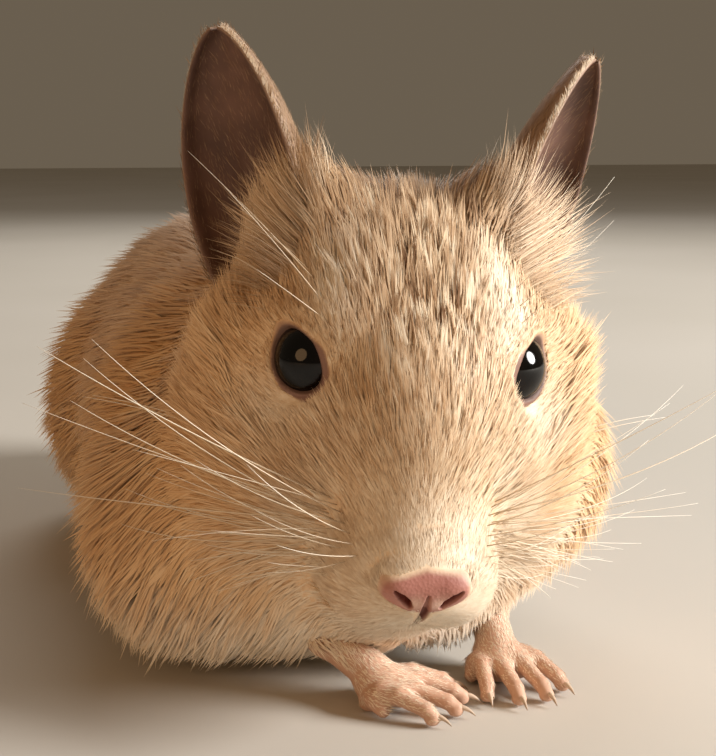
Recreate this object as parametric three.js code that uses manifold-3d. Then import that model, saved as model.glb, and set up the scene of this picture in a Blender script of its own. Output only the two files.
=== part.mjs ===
// A sand-coloured degu (Octodon degus), life size, crouching with its head raised and one forepaw lifted.
// Millimetres, +Z up, the floor at Z = 0. The animal faces -Y, so its left side is +X.
// The solids show the animal out to the tips of its coat.
import * as THREE from "three";
import { mergeVertices } from "three/addons/utils/BufferGeometryUtils.js";
import Module from "manifold-3d";

const wasm = await Module();
wasm.setup();

// ---------------------------------------------------------------- driving dimensions
const HEAD_AT = [-0.7, -60, 40.4]; // half way between the two eye centres
const HEAD_PITCH = 38; // nose down, degrees
const HEAD_YAW = -11; // turned to its right
const HEAD_ROLL = 5; // left side lower
const EYE_OUT = 10.6; // eye centre from the middle plane of the head
const EYE_R = 4.7;
const EYE_GAP = 0.3; // between the eyeball and its socket
const CUT = 0.3; // width of the thin cuts between the pieces
const HEAD_STEP = 3.45; // grid of the head's facets
const NECK_STEP = 6;
const TRUNK_STEP = 7.2;
const EAR = {
  root: [16.8, 15.5, -4.5], // middle of the ear's opening at its lower notch, in the head's own frame (x out, y back, z up)
  up: [0.2, 0.53, 0.81], // from the root to the tip
  face: [0.79, -0.49, 0.37], // the way the hollow side looks
  height: 30,
  width: 18.5,
  hollow: 7.6,
  thick: 1.2,
};

// ---------------------------------------------------------------- small vector helpers
const rad = (d) => (d * Math.PI) / 180;
const turn = (rx, ry, rz) => {
  const m = new THREE.Matrix4().makeRotationFromEuler(new THREE.Euler(rad(rx), rad(ry), rad(rz), "ZXY"));
  const e = m.elements; // column-major
  return [e[0], e[4], e[8], e[1], e[5], e[9], e[2], e[6], e[10]];
};
const HEAD_R = turn(HEAD_PITCH, HEAD_ROLL, HEAD_YAW); // Rz * Rx * Ry
const mul = (m, p) => [
  m[0] * p[0] + m[1] * p[1] + m[2] * p[2],
  m[3] * p[0] + m[4] * p[1] + m[5] * p[2],
  m[6] * p[0] + m[7] * p[1] + m[8] * p[2],
];
const mulT = (m, p) => [
  m[0] * p[0] + m[3] * p[1] + m[6] * p[2],
  m[1] * p[0] + m[4] * p[1] + m[7] * p[2],
  m[2] * p[0] + m[5] * p[1] + m[8] * p[2],
];
const sub = (a, b) => [a[0] - b[0], a[1] - b[1], a[2] - b[2]];
const add = (a, b) => [a[0] + b[0], a[1] + b[1], a[2] + b[2]];
const scaled = (a, s) => [a[0] * s, a[1] * s, a[2] * s];
const dot = (a, b) => a[0] * b[0] + a[1] * b[1] + a[2] * b[2];
const cross = (a, b) => [a[1] * b[2] - a[2] * b[1], a[2] * b[0] - a[0] * b[2], a[0] * b[1] - a[1] * b[0]];
const unit = (a) => scaled(a, 1 / Math.hypot(...a));
export const toHead = (p) => mulT(HEAD_R, sub(p, HEAD_AT));
export const fromHead = (p) => add(mul(HEAD_R, p), HEAD_AT);

// ---------------------------------------------------------------- the coat as a distance field
// Each flesh mass is an ellipsoid [name, centre, radii, turn in degrees, blend] or a
// round-ended cone [name, end a, radius a, end b, radius b, blend]. "pair" gives one on each side.
const ball = (name, c, r, rot, k, pair = false) => ({ name, kind: 0, c, r, rot: turn(...rot), k, pair });
const cone = (name, a, ra, b, rb, k, pair = false) => ({ name, kind: 1, a, ra, b, rb, k, pair });

// Head, in its own frame: x out to the left, y back from the eyes, z up, the nose towards -y.
const HEAD = [
  ball("cranium", [0, 9.5, -4.4], [15.5, 15.5, 12.2], [0, 0, 0], 0),
  ball("forehead", [0, -2.5, -2], [10.9, 14, 9.5], [-8, 0, 0], 6),
  cone("snout", [0, -6, -6.5], 10.2, [0, -18.5, -10.2], 7.2, 5),
  ball("whisker_pad", [4.2, -18.6, -12.6], [5.2, 6.4, 5.6], [0, 0, 12], 3.5, true),
  ball("nose", [0, -23.6, -8.9], [4.7, 2.6, 3.4], [14, 0, 0], 2.2),
  ball("chin", [0, -15.5, -18], [5.2, 6.4, 4.6], [0, 0, 0], 3),
  cone("jaw", [0, -9, -15], 8.5, [0, 8, -15], 14, 5),
  ball("cheek", [9.5, 2, -14.5], [11.8, 14.5, 12.5], [0, 0, 6], 5, true),
  ball("cheekbone", [9, -6.5, -8], [4.4, 7, 4.4], [0, 0, 22], 4, true),
  ball("brow", [7.6, 4, 4], [4.8, 7, 3.4], [0, 24, 14], 3, true),
  ball("ruff", [10.6, 6, -8], [12.6, 11.5, 12], [0, 0, 0], 4, true),
  ball("ear_root", [12.4, 18, 0], [5.2, 6, 8], [-25, 10, 0], 5, true),
  ball("crown_tuft", [9.6, 18, 5.7], [4.2, 5.5, 5], [-25, 12, 0], 4, true),
];
// Trunk, in the frame of the whole animal.
const TRUNK = [
  ball("rump", [0, 30, 27], [27, 27, 26], [0, 0, 0], 0),
  ball("belly", [0, -2, 24], [31, 36, 24.5], [0, 0, 0], 12),
  ball("back", [0, 6, 32], [21, 34, 21.5], [0, 0, 0], 12),
  ball("ribs", [0, -22, 25], [29, 24, 24], [0, 0, 0], 12),
  ball("thigh", [19.5, 25, 20.5], [13.5, 21, 19], [-14, 0, -6], 6, true),
  ball("shoulder_right", [-18, -34, 16], [17, 20, 19], [0, -8, 0], 8),
  ball("shoulder_left", [18, -35, 23], [17.5, 20, 18.5], [0, 0, 0], 8),
  ball("chest", [0, -45, 17], [21, 15, 17], [0, 0, 0], 8),
];
const FLOOR_CLEAR = 1.6; // the coat is flattened this far above the floor
const NECK_BACK = [0, -26, 31],
  NECK_BACK_R = 20,
  NECK_FRONT = [0, 13, -7.5], // in the head's frame
  NECK_FRONT_R = 15.4;

const smin = (a, b, k) => {
  if (k <= 0) return Math.min(a, b);
  const h = Math.max(k - Math.abs(a - b), 0) / k;
  return Math.min(a, b) - h * h * k * 0.25;
};
const dBall = (p, c, r, m) => {
  const q = mulT(m, [p[0] - c[0], p[1] - c[1], p[2] - c[2]]);
  const x = q[0] / r[0], y = q[1] / r[1], z = q[2] / r[2];
  const k0 = Math.hypot(x, y, z);
  const k1 = Math.hypot(x / r[0], y / r[1], z / r[2]);
  return k1 < 1e-9 ? -Math.min(...r) : (k0 * (k0 - 1)) / k1;
};
const dCone = (p, a, ra, b, rb) => {
  const ba = sub(b, a), pa = sub(p, a);
  const h = Math.min(1, Math.max(0, dot(pa, ba) / dot(ba, ba)));
  return Math.hypot(pa[0] - ba[0] * h, pa[1] - ba[1] * h, pa[2] - ba[2] * h) - (ra + (rb - ra) * h);
};
const masses = (list, p, start = 1e9) => {
  let d = start;
  for (const m of list)
    for (const side of m.pair ? [1, -1] : [1]) {
      const q = side < 0 ? [-p[0], p[1], p[2]] : p;
      const e = m.kind === 0 ? dBall(q, m.c, m.r, m.rot) : dCone(q, m.a, m.ra, m.b, m.rb);
      d = smin(d, e, m.k);
    }
  return d;
};
export const headField = (p) => masses(HEAD, toHead(p));
export const neckField = (p) => dCone(p, NECK_BACK, NECK_BACK_R, fromHead(NECK_FRONT), NECK_FRONT_R);
export const trunkField = (p) => masses(TRUNK, p);
// The whole coat without ears, paws and tail.
export const coatField = (p) => -smin(-smin(smin(trunkField(p), neckField(p), 12), headField(p), 6), p[2] - FLOOR_CLEAR, 5);

// ---------------------------------------------------------------- surface of a field, by surface nets
export function surfaceOf(field, lo, hi, step) {
  const n = [0, 1, 2].map((i) => Math.ceil((hi[i] - lo[i]) / step) + 1);
  const at = (i, j, k) => i + n[0] * (j + n[1] * k);
  const pos = (i, j, k) => [lo[0] + i * step, lo[1] + j * step, lo[2] + k * step];
  const v = new Float64Array(n[0] * n[1] * n[2]);
  for (let k = 0; k < n[2]; k++)
    for (let j = 0; j < n[1]; j++)
      for (let i = 0; i < n[0]; i++) {
        const edge = i === 0 || j === 0 || k === 0 || i === n[0] - 1 || j === n[1] - 1 || k === n[2] - 1;
        const d = field(pos(i, j, k));
        v[at(i, j, k)] = edge ? Math.max(d, 0.35 * step) : d; // closed at the box
      }
  const cellVertex = new Map(), points = [], quads = [];
  const corners = [[0, 0, 0], [1, 0, 0], [0, 1, 0], [1, 1, 0], [0, 0, 1], [1, 0, 1], [0, 1, 1], [1, 1, 1]];
  const edges = [[0, 1], [2, 3], [4, 5], [6, 7], [0, 2], [1, 3], [4, 6], [5, 7], [0, 4], [1, 5], [2, 6], [3, 7]];
  for (let k = 0; k < n[2] - 1; k++)
    for (let j = 0; j < n[1] - 1; j++)
      for (let i = 0; i < n[0] - 1; i++) {
        const vals = corners.map((c) => v[at(i + c[0], j + c[1], k + c[2])]);
        const inside = vals.filter((x) => x < 0).length;
        if (inside === 0 || inside === 8) continue;
        let s = [0, 0, 0], m = 0;
        for (const [a, b] of edges)
          if (vals[a] < 0 !== vals[b] < 0) {
            const t = vals[a] / (vals[a] - vals[b]);
            for (let q = 0; q < 3; q++) s[q] += corners[a][q] + t * (corners[b][q] - corners[a][q]);
            m++;
          }
        const base = pos(i, j, k);
        let p = [0, 1, 2].map((q) => base[q] + (s[q] / m) * step);
        const onBox = [i, j, k].some((x, q) => x === 0 || x === n[q] - 2);
        if (!onBox)
          for (let it = 0; it < 3; it++) {
            const d = field(p), e = 0.05 * step;
            const g = [0, 1, 2].map((q) => {
              const u = p.slice(), w = p.slice();
              u[q] += e;
              w[q] -= e;
              return (field(u) - field(w)) / (2 * e);
            });
            const g2 = Math.max(dot(g, g), 0.2);
            const move = scaled(g, -d / g2);
            const len = Math.hypot(...move);
            p = add(p, scaled(move, len > 0.5 * step ? (0.5 * step) / len : 1));
          }
        cellVertex.set(at(i, j, k), points.length / 3);
        points.push(...p);
      }
  const steps = [1, n[0], n[0] * n[1]];
  for (let k = 0; k < n[2] - 1; k++)
    for (let j = 0; j < n[1] - 1; j++)
      for (let i = 0; i < n[0] - 1; i++) {
        const o = at(i, j, k), here = [i, j, k];
        for (let d = 0; d < 3; d++) {
          if (here[(d + 1) % 3] < 1 || here[(d + 2) % 3] < 1) continue;
          const a = v[o], b = v[o + steps[d]];
          if (a < 0 === b < 0) continue;
          const u = steps[(d + 1) % 3], w = steps[(d + 2) % 3];
          const q = [o - u - w, o - w, o, o - u].map((c) => cellVertex.get(c));
          quads.push(a < 0 ? q : [q[3], q[2], q[1], q[0]]);
        }
      }
  const tri = [];
  const P = (a) => [points[3 * a], points[3 * a + 1], points[3 * a + 2]];
  for (const [a, b, c, d] of quads) {
    const ac = Math.hypot(...sub(P(a), P(c))), bd = Math.hypot(...sub(P(b), P(d)));
    if (ac < bd) tri.push(a, b, c, a, c, d);
    else tri.push(a, b, d, b, c, d);
  }
  const g = new THREE.BufferGeometry();
  g.setAttribute("position", new THREE.Float32BufferAttribute(points, 3));
  g.setIndex(tri);
  return g;
}

// ---------------------------------------------------------------- solids
const solidOf = (geometry) => {
  const g = new THREE.BufferGeometry().setAttribute("position", geometry.getAttribute("position"));
  if (geometry.index) g.setIndex(geometry.index);
  const m = mergeVertices(g, 1e-4);
  return new wasm.Manifold(
    new wasm.Mesh({
      numProp: 3,
      vertProperties: new Float32Array(m.attributes.position.array),
      triVerts: new Uint32Array(m.index.array),
    }),
  );
};
const largest = (solid) => {
  const parts = solid.decompose();
  return parts.reduce((a, b) => (b.volume() > a.volume() ? b : a));
};
const joined = (list) => list.reduce((a, b) => a.add(b));
const mirrored = (p) => [-p[0], p[1], p[2]];

// A round-ended tube along a smooth path; flat < 1 presses it down.
function tube(path, radii, { sides = 10, cuts = 3, flat = 1 } = {}) {
  const curve = new THREE.CatmullRomCurve3(path.map((p) => new THREE.Vector3(...p)), false, "centripetal");
  const n = (path.length - 1) * cuts;
  const rings = [];
  for (let i = 0; i <= n; i++) {
    const t = i / n, f = t * (path.length - 1), k = Math.min(Math.floor(f), path.length - 2);
    const c = curve.getPoint(t), d = curve.getTangent(t);
    rings.push({ c: [c.x, c.y, c.z], d: [d.x, d.y, d.z], r: radii[k] + (radii[k + 1] - radii[k]) * (f - k) });
  }
  const cap = (end, sign) =>
    [30, 60].map((a) => ({
      c: add(end.c, scaled(end.d, sign * end.r * Math.sin(rad(a)))),
      d: end.d,
      r: end.r * Math.cos(rad(a)),
    }));
  const first = rings[0], last = rings[rings.length - 1];
  const all = [...cap(first, -1).reverse(), ...rings, ...cap(last, 1)];
  const points = [], tri = [];
  let side = Math.abs(first.d[2]) > 0.9 ? [0, 1, 0] : [0, 0, 1];
  for (const ring of all) {
    const x = unit(cross(ring.d, side)), y = cross(x, ring.d);
    side = y;
    for (let s = 0; s < sides; s++) {
      const a = (2 * Math.PI * s) / sides;
      points.push(...add(ring.c, add(scaled(x, ring.r * Math.cos(a)), scaled(y, flat * ring.r * Math.sin(a)))));
    }
  }
  const at = (i, s) => i * sides + (s % sides);
  for (let i = 0; i < all.length - 1; i++)
    for (let s = 0; s < sides; s++)
      tri.push(at(i, s), at(i + 1, s), at(i + 1, s + 1), at(i, s), at(i + 1, s + 1), at(i, s + 1));
  const tips = [add(first.c, scaled(first.d, -first.r)), add(last.c, scaled(last.d, last.r))];
  const t0 = points.length / 3;
  points.push(...tips[0], ...tips[1]);
  for (let s = 0; s < sides; s++) {
    tri.push(t0, at(0, s), at(0, s + 1));
    tri.push(t0 + 1, at(all.length - 1, s + 1), at(all.length - 1, s));
  }
  const g = new THREE.BufferGeometry();
  g.setAttribute("position", new THREE.Float32BufferAttribute(points, 3));
  g.setIndex(tri);
  return solidOf(g);
}

// An ear: a cupped sheet from the root to the tip. side = 1 is the left ear.
const earSheet = (u, v) => {
  const half = (EAR.width / 2) * Math.pow(Math.sin(Math.PI * (0.2 + 0.8 * u)), 0.6);
  const deep = EAR.hollow * (1 - 0.75 * u * u) * Math.pow(Math.cos((Math.PI / 2) * v * 0.985), 0.8);
  return { along: EAR.height * u, across: half * Math.sin((Math.PI / 2) * v), deep };
};
function ear(side) {
  const up = unit(EAR.up), out = unit(cross(up, EAR.face)), look = cross(out, up);
  const nu = 9, nv = 6;
  const mid = [];
  for (let i = 0; i <= nu; i++)
    for (let j = 0; j <= nv; j++) {
      const s = earSheet(0.996 * Math.sin((Math.PI / 2) * Math.pow(i / nu, 0.85)), (2 * j) / nv - 1);
      mid.push(add(EAR.root, add(scaled(up, s.along), add(scaled(out, s.across), scaled(look, -s.deep)))));
    }
  const at = (i, j) => i * (nv + 1) + j;
  const points = [];
  for (const way of [0.5, -0.5])
    for (let i = 0; i <= nu; i++)
      for (let j = 0; j <= nv; j++) {
        const du = sub(mid[at(Math.min(i + 1, nu), j)], mid[at(Math.max(i - 1, 0), j)]);
        const dv = sub(mid[at(i, Math.min(j + 1, nv))], mid[at(i, Math.max(j - 1, 0))]);
        const n = unit(cross(dv, du));
        const p = fromHead(((q) => (side < 0 ? mirrored(q) : q))(add(mid[at(i, j)], scaled(n, way * EAR.thick))));
        points.push(...p);
      }
  const half = (nu + 1) * (nv + 1), tri = [];
  const quad = (a, b, c, d) => tri.push(a, b, c, a, c, d);
  for (let i = 0; i < nu; i++)
    for (let j = 0; j < nv; j++) {
      quad(at(i, j), at(i, j + 1), at(i + 1, j + 1), at(i + 1, j));
      quad(half + at(i, j), half + at(i + 1, j), half + at(i + 1, j + 1), half + at(i, j + 1));
    }
  for (let i = 0; i < nu; i++) {
    quad(at(i, 0), at(i + 1, 0), half + at(i + 1, 0), half + at(i, 0));
    quad(at(i + 1, nv), at(i, nv), half + at(i, nv), half + at(i + 1, nv));
  }
  for (let j = 0; j < nv; j++) {
    quad(at(0, j + 1), at(0, j), half + at(0, j), half + at(0, j + 1));
    quad(at(nu, j), at(nu, j + 1), half + at(nu, j + 1), half + at(nu, j));
  }
  if (side < 0) for (let t = 0; t < tri.length; t += 3) [tri[t + 1], tri[t + 2]] = [tri[t + 2], tri[t + 1]];
  const g = new THREE.BufferGeometry();
  g.setAttribute("position", new THREE.Float32BufferAttribute(points, 3));
  g.setIndex(tri);
  const m = solidOf(g);
  if (m.volume() < 0) {
    for (let t = 0; t < tri.length; t += 3) [tri[t + 1], tri[t + 2]] = [tri[t + 2], tri[t + 1]];
    g.setIndex(tri);
    return solidOf(g);
  }
  return m;
}

// Boxes of the grids
const HEAD_BOX = [[-33, -92, -2], [33, -22, 78]];
const TRUNK_BOX = [[-44, -62, -3], [44, 70, 66]];
const grown = (p) => coatField(p) - CUT;

const headCoat = solidOf(surfaceOf(coatField, ...HEAD_BOX, HEAD_STEP));
const neckCoat = solidOf(surfaceOf(coatField, [-40, -64, -2], [40, -10, 70], NECK_STEP));
const trunkCoat = solidOf(surfaceOf(coatField, ...TRUNK_BOX, TRUNK_STEP));
const headGrown = solidOf(surfaceOf(grown, ...HEAD_BOX, HEAD_STEP));
const neckGrown = solidOf(surfaceOf(grown, [-40, -64, -2], [40, -10, 70], NECK_STEP));
const trunkGrown = solidOf(surfaceOf(grown, ...TRUNK_BOX, TRUNK_STEP));

// The head ends at a slanting plane behind the ears and jaw, and at the throat.
const BACK_CUT = [0, 0.927, -0.376], BACK_AT = 22, THROAT_AT = -25; // in the head's frame
const headRegion = (grow) => {
  const g = new THREE.BoxGeometry(120, 120, 120);
  g.translate(0, 0, 60 + THROAT_AT - grow);
  const m4 = new THREE.Matrix4().set(
    HEAD_R[0], HEAD_R[1], HEAD_R[2], HEAD_AT[0],
    HEAD_R[3], HEAD_R[4], HEAD_R[5], HEAD_AT[1],
    HEAD_R[6], HEAD_R[7], HEAD_R[8], HEAD_AT[2],
    0, 0, 0, 1,
  );
  g.applyMatrix4(m4);
  const n = mul(HEAD_R, unit(BACK_CUT));
  const at = dot(n, fromHead(scaled(unit(BACK_CUT), BACK_AT + grow)));
  return solidOf(g).trimByPlane(scaled(n, -1), -at);
};
// The neck ends at a plane in front of the shoulders.
const NECK_CUT = unit([0, 0.985, 0.17]);
const NECK_AT = dot(NECK_CUT, [0, -26, 50]);

const eyeball = (side, r) => {
  const g = new THREE.SphereGeometry(r, 12, 9);
  g.rotateZ(Math.PI / 2);
  const c = fromHead([side * EYE_OUT, 0, 0]);
  g.translate(...c);
  return solidOf(g);
};
let head = headCoat.intersect(headRegion(0));
for (const side of [1, -1]) head = head.subtract(eyeball(side, EYE_R + EYE_GAP));
head = largest(head);
let neck = neckCoat
  .subtract(headRegion(CUT))
  .trimByPlane(scaled(NECK_CUT, -1), -NECK_AT);
neck = largest(neck);
let trunk = trunkCoat.trimByPlane(NECK_CUT, NECK_AT + CUT).subtract(headRegion(CUT));

// The thighs are let into the flanks as lenses.
const thighCutter = (side, grow) => {
  const g = new THREE.SphereGeometry(1, 20, 14);
  g.scale(17 + grow, 26 + grow, 23 + grow);
  g.rotateX(rad(-12));
  g.translate(side * 32, 26, 20);
  return solidOf(g);
};
const named = {};
for (const [name, side] of [["left", 1], ["right", -1]]) {
  named["hindleg_" + name] = largest(trunkCoat.intersect(thighCutter(side, 0)));
  trunk = trunk.subtract(thighCutter(side, CUT));
  named["ear_" + name] = largest(ear(side).subtract(headGrown).subtract(neckGrown));
  named["eye_" + name] = eyeball(side, EYE_R);
}
trunk = largest(trunk);

// Tail
const TAIL = [[0, 49, 26, 8], [1, 60, 17, 5.6], [3, 71, 7.5, 4.2], [8, 88, 3.3, 3.4], [17, 106, 3.3, 3.4], [30, 122, 3.9, 4], [45, 133, 4.6, 4.8], [58, 138, 3.8, 4]];
const tail = largest(
  tube(TAIL.map((t) => t.slice(0, 3)), TAIL.map((t) => t[3]), { sides: 10, cuts: 2 })
    .trimByPlane([0, 0, 1], 0)
    .subtract(trunkGrown),
);

// Hind feet: long soles flat on the floor, five toes, the inner one short.
const hindFoot = (side) => {
  const s = (p) => [side * p[0], p[1], p[2]];
  const parts = [
    tube([s([19, 38, 7]), s([20, 30, 4.6]), s([21.5, 18, 3.4]), s([22.5, 10, 3])], [4.2, 4.4, 4, 3.9], { sides: 10, cuts: 1, flat: 0.85 }),
  ];
  const toes = [[17.6, 12, 16.4, 5.5], [19.6, 10, 18.8, 1.5], [22.2, 9, 22.4, -0.5], [24.8, 9.5, 26, 1], [26.4, 12, 28.6, 5.5]];
  toes.forEach(([x0, y0, x1, y1]) => {
    parts.push(tube([s([x0, y0 + 3, 2.6]), s([(x0 + x1) / 2, (y0 + y1) / 2, 2.5]), s([x1, y1, 1.2])], [1.7, 1.55, 1.25], { sides: 5, cuts: 1 }));
  });
  return joined(parts).trimByPlane([0, 0, 1], 0);
};
// Forefeet: forearm, palm and four fingers (the thumb is a small knob).
const ARM = {
  left: { elbow: [16, -34, 18], mid: [15, -42, 12], wrist: [13.5, -49, 7], palm: [12.8, -55, 3.1], aim: [0.06, -1] },
  right: { elbow: [-14, -38, 18], mid: [-12, -45, 12], wrist: [-8.5, -53, 7.2], palm: [-3.5, -58.5, 3.3], aim: [0.86, -0.5] },
};
const foreFoot = (name) => {
  const a = ARM[name], f = unit([a.aim[0], a.aim[1], 0]), s = [-f[1], f[0], 0];
  const on = (along, across, z) => [a.palm[0] + f[0] * along + s[0] * across, a.palm[1] + f[1] * along + s[1] * across, z];
  const parts = [
    tube([a.elbow, a.mid, a.wrist, on(1, 0, 3)], [6.5, 5, 3.6, 3.5], { sides: 10, cuts: 1 }),
    tube([on(-1.5, 0, 3), on(2.2, 0, 2.6)], [3.4, 3.7], { sides: 10, cuts: 1, flat: 0.8 }),
  ];
  const fingers = [[-3, 0.5, -4.9, 8], [-1.2, 1.6, -1.9, 10.2], [1.1, 1.6, 1.6, 10.4], [3.1, 0.6, 4.8, 8.4]];
  for (const [c0, l0, c1, l1] of fingers)
    parts.push(tube([on(l0, c0, 2.7), on((l0 + l1) / 2, (c0 + c1) / 2, 2.6), on(l1, c1, 1)], [1.5, 1.35, 1.05], { sides: 5, cuts: 1 }));
  return joined(parts).trimByPlane([0, 0, 1], 0);
};
for (const [name, side] of [["left", 1], ["right", -1]]) {
  named["hindfoot_" + name] = largest(hindFoot(side).subtract(trunkGrown));
  named["foreleg_" + name] = largest(foreFoot(name).subtract(trunkGrown).subtract(headGrown));
}

// ---------------------------------------------------------------- the group
const SAND = 0xcfa878, PALE = 0xe2cba6, EARSKIN = 0xa9877b, PAW = 0xd9b3a2, EYE = 0x120c0a;
const group = new THREE.Group();
const put = (name, solid, colour, roughness = 0.85) => {
  const m = solid.getMesh();
  const g = new THREE.BufferGeometry();
  g.setAttribute("position", new THREE.Float32BufferAttribute(m.vertProperties, 3));
  g.setIndex(Array.from(m.triVerts));
  g.computeVertexNormals();
  const mesh = new THREE.Mesh(g, new THREE.MeshStandardMaterial({ color: colour, roughness, metalness: 0 }));
  mesh.name = name;
  group.add(mesh);
};
put("head", head, SAND);
put("neck", neck, SAND);
put("trunk", trunk, SAND);
put("tail", tail, SAND);
for (const side of ["left", "right"]) {
  put("ear_" + side, named["ear_" + side], EARSKIN);
  put("eye_" + side, named["eye_" + side], EYE, 0.08);
  put("hindleg_" + side, named["hindleg_" + side], SAND);
  put("hindfoot_" + side, named["hindfoot_" + side], PAW);
  put("foreleg_" + side, named["foreleg_" + side], PAW);
}

// The origin is the middle of the bounding box at the floor.
const box = new THREE.Box3().setFromObject(group);
const ORIGIN = [(box.min.x + box.max.x) / 2, (box.min.y + box.max.y) / 2, box.min.z];
for (const mesh of group.children) mesh.geometry.translate(-ORIGIN[0], -ORIGIN[1], -ORIGIN[2]);
export const origin = ORIGIN;
export default group;
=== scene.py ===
# A sand-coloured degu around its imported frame. One skin stands for the fleshy nodes, and the coat is
# solid mesh tufts rooted in it. Lengths are in millimetres until a mesh is made, then metres.
import math
import time

import bpy
import numpy as np
from mathutils import Matrix, Vector, kdtree


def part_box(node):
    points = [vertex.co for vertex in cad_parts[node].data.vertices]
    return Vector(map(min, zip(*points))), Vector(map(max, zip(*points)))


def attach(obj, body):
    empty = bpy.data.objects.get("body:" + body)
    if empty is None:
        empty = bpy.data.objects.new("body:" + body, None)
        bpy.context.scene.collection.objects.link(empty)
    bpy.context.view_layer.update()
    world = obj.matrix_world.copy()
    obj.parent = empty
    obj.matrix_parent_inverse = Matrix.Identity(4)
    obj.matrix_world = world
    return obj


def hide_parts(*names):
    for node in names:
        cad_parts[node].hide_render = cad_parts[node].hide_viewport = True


T0 = time.time()
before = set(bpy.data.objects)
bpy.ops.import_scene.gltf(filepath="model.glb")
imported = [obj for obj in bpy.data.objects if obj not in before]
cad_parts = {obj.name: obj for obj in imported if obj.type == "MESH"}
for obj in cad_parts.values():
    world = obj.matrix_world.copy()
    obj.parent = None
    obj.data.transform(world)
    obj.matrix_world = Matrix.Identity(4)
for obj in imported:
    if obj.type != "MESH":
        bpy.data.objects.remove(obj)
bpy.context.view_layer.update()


def say(*words):
    print(f"[{time.time() - T0:6.1f}s]", *words, flush=True)


# ------------------------------------------------------------------ driving dimensions, as in the solids
HEAD_AT = np.array([-0.7, -60.0, 40.4])
HEAD_PITCH, HEAD_YAW, HEAD_ROLL = 38.0, -11.0, 5.0
EYE_OUT, EYE_R = 10.6, 4.7
EAR = dict(root=[16.8, 15.5, -4.5], up=[0.2, 0.53, 0.81], face=[0.79, -0.49, 0.37], height=30.0, width=18.5, hollow=7.6)


def turn(rx, ry, rz):
    a, b, c = (math.radians(v) for v in (rx, ry, rz))
    X = np.array([[1, 0, 0], [0, math.cos(a), -math.sin(a)], [0, math.sin(a), math.cos(a)]])
    Y = np.array([[math.cos(b), 0, math.sin(b)], [0, 1, 0], [-math.sin(b), 0, math.cos(b)]])
    Z = np.array([[math.cos(c), -math.sin(c), 0], [math.sin(c), math.cos(c), 0], [0, 0, 1]])
    return Z @ X @ Y


HEAD_R = turn(HEAD_PITCH, HEAD_ROLL, HEAD_YAW)


def to_head(p):
    return (p - HEAD_AT) @ HEAD_R


def from_head(p):
    return np.asarray(p, float) @ HEAD_R.T + HEAD_AT


def unit(v):
    v = np.asarray(v, float)
    return v / np.maximum(np.linalg.norm(v, axis=-1, keepdims=True), 1e-12)


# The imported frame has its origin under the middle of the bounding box: one known point gives the shift.
lo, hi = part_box("eye_left")
SHIFT = np.array((lo + hi) / 2) * 1000 - from_head([EYE_OUT, 0, 0])
say("shift", SHIFT)

# ------------------------------------------------------------------ the coat as a distance field
HEAD = [
    ("ball", [0, 9.5, -4.4], [15.5, 15.5, 12.2], [0, 0, 0], 0, False),
    ("ball", [0, -2.5, -2], [10.9, 14, 9.5], [-8, 0, 0], 6, False),
    ("cone", [0, -6, -6.5], 10.2, [0, -18.5, -10.2], 7.2, 5, False),
    ("ball", [4.2, -18.6, -12.6], [5.2, 6.4, 5.6], [0, 0, 12], 3.5, True),
    ("ball", [0, -23.6, -8.9], [4.7, 2.6, 3.4], [14, 0, 0], 2.2, False),
    ("ball", [0, -15.5, -18], [5.2, 6.4, 4.6], [0, 0, 0], 3, False),
    ("cone", [0, -9, -15], 8.5, [0, 8, -15], 14, 5, False),
    ("ball", [9.5, 2, -14.5], [11.8, 14.5, 12.5], [0, 0, 6], 5, True),
    ("ball", [9, -6.5, -8], [4.4, 7, 4.4], [0, 0, 22], 4, True),
    ("ball", [7.6, 4, 4], [4.8, 7, 3.4], [0, 24, 14], 3, True),
    ("ball", [10.6, 6, -8], [12.6, 11.5, 12], [0, 0, 0], 4, True),
    ("ball", [12.4, 18, 0], [5.2, 6, 8], [-25, 10, 0], 5, True),
    ("ball", [9.6, 18, 5.7], [4.2, 5.5, 5], [-25, 12, 0], 4, True),
]
TRUNK = [
    ("ball", [0, 30, 27], [27, 27, 26], [0, 0, 0], 0, False),
    ("ball", [0, -2, 24], [31, 36, 24.5], [0, 0, 0], 12, False),
    ("ball", [0, 6, 32], [21, 34, 21.5], [0, 0, 0], 12, False),
    ("ball", [0, -22, 25], [29, 24, 24], [0, 0, 0], 12, False),
    ("ball", [19.5, 25, 20.5], [13.5, 21, 19], [-14, 0, -6], 6, True),
    ("ball", [-18, -34, 16], [17, 20, 19], [0, -8, 0], 8, False),
    ("ball", [18, -35, 23], [17.5, 20, 18.5], [0, 0, 0], 8, False),
    ("ball", [0, -45, 17], [21, 15, 17], [0, 0, 0], 8, False),
]
FLOOR_CLEAR = 1.6
NECK_BACK, NECK_BACK_R = [0, -26, 31], 20
NECK_FRONT, NECK_FRONT_R = [0, 13, -7.5], 15.4


def smin(a, b, k):
    if k <= 0:
        return np.minimum(a, b)
    h = np.maximum(k - np.abs(a - b), 0) / k
    return np.minimum(a, b) - h * h * k * 0.25


def smax(a, b, k):
    return -smin(-a, -b, k)


def d_ball(p, c, r, m):
    q = (p - np.asarray(c, float)) @ m
    r = np.asarray(r, float)
    k0 = np.linalg.norm(q / r, axis=-1)
    k1 = np.linalg.norm(q / (r * r), axis=-1)
    return k0 * (k0 - 1) / np.maximum(k1, 1e-9)


def d_cone(p, a, ra, b, rb):
    a, b = np.asarray(a, float), np.asarray(b, float)
    ba, pa = b - a, p - a
    h = np.clip(pa @ ba / (ba @ ba), 0, 1)
    return np.linalg.norm(pa - h[..., None] * ba, axis=-1) - (ra + (rb - ra) * h)


ROTS = {}


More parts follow.
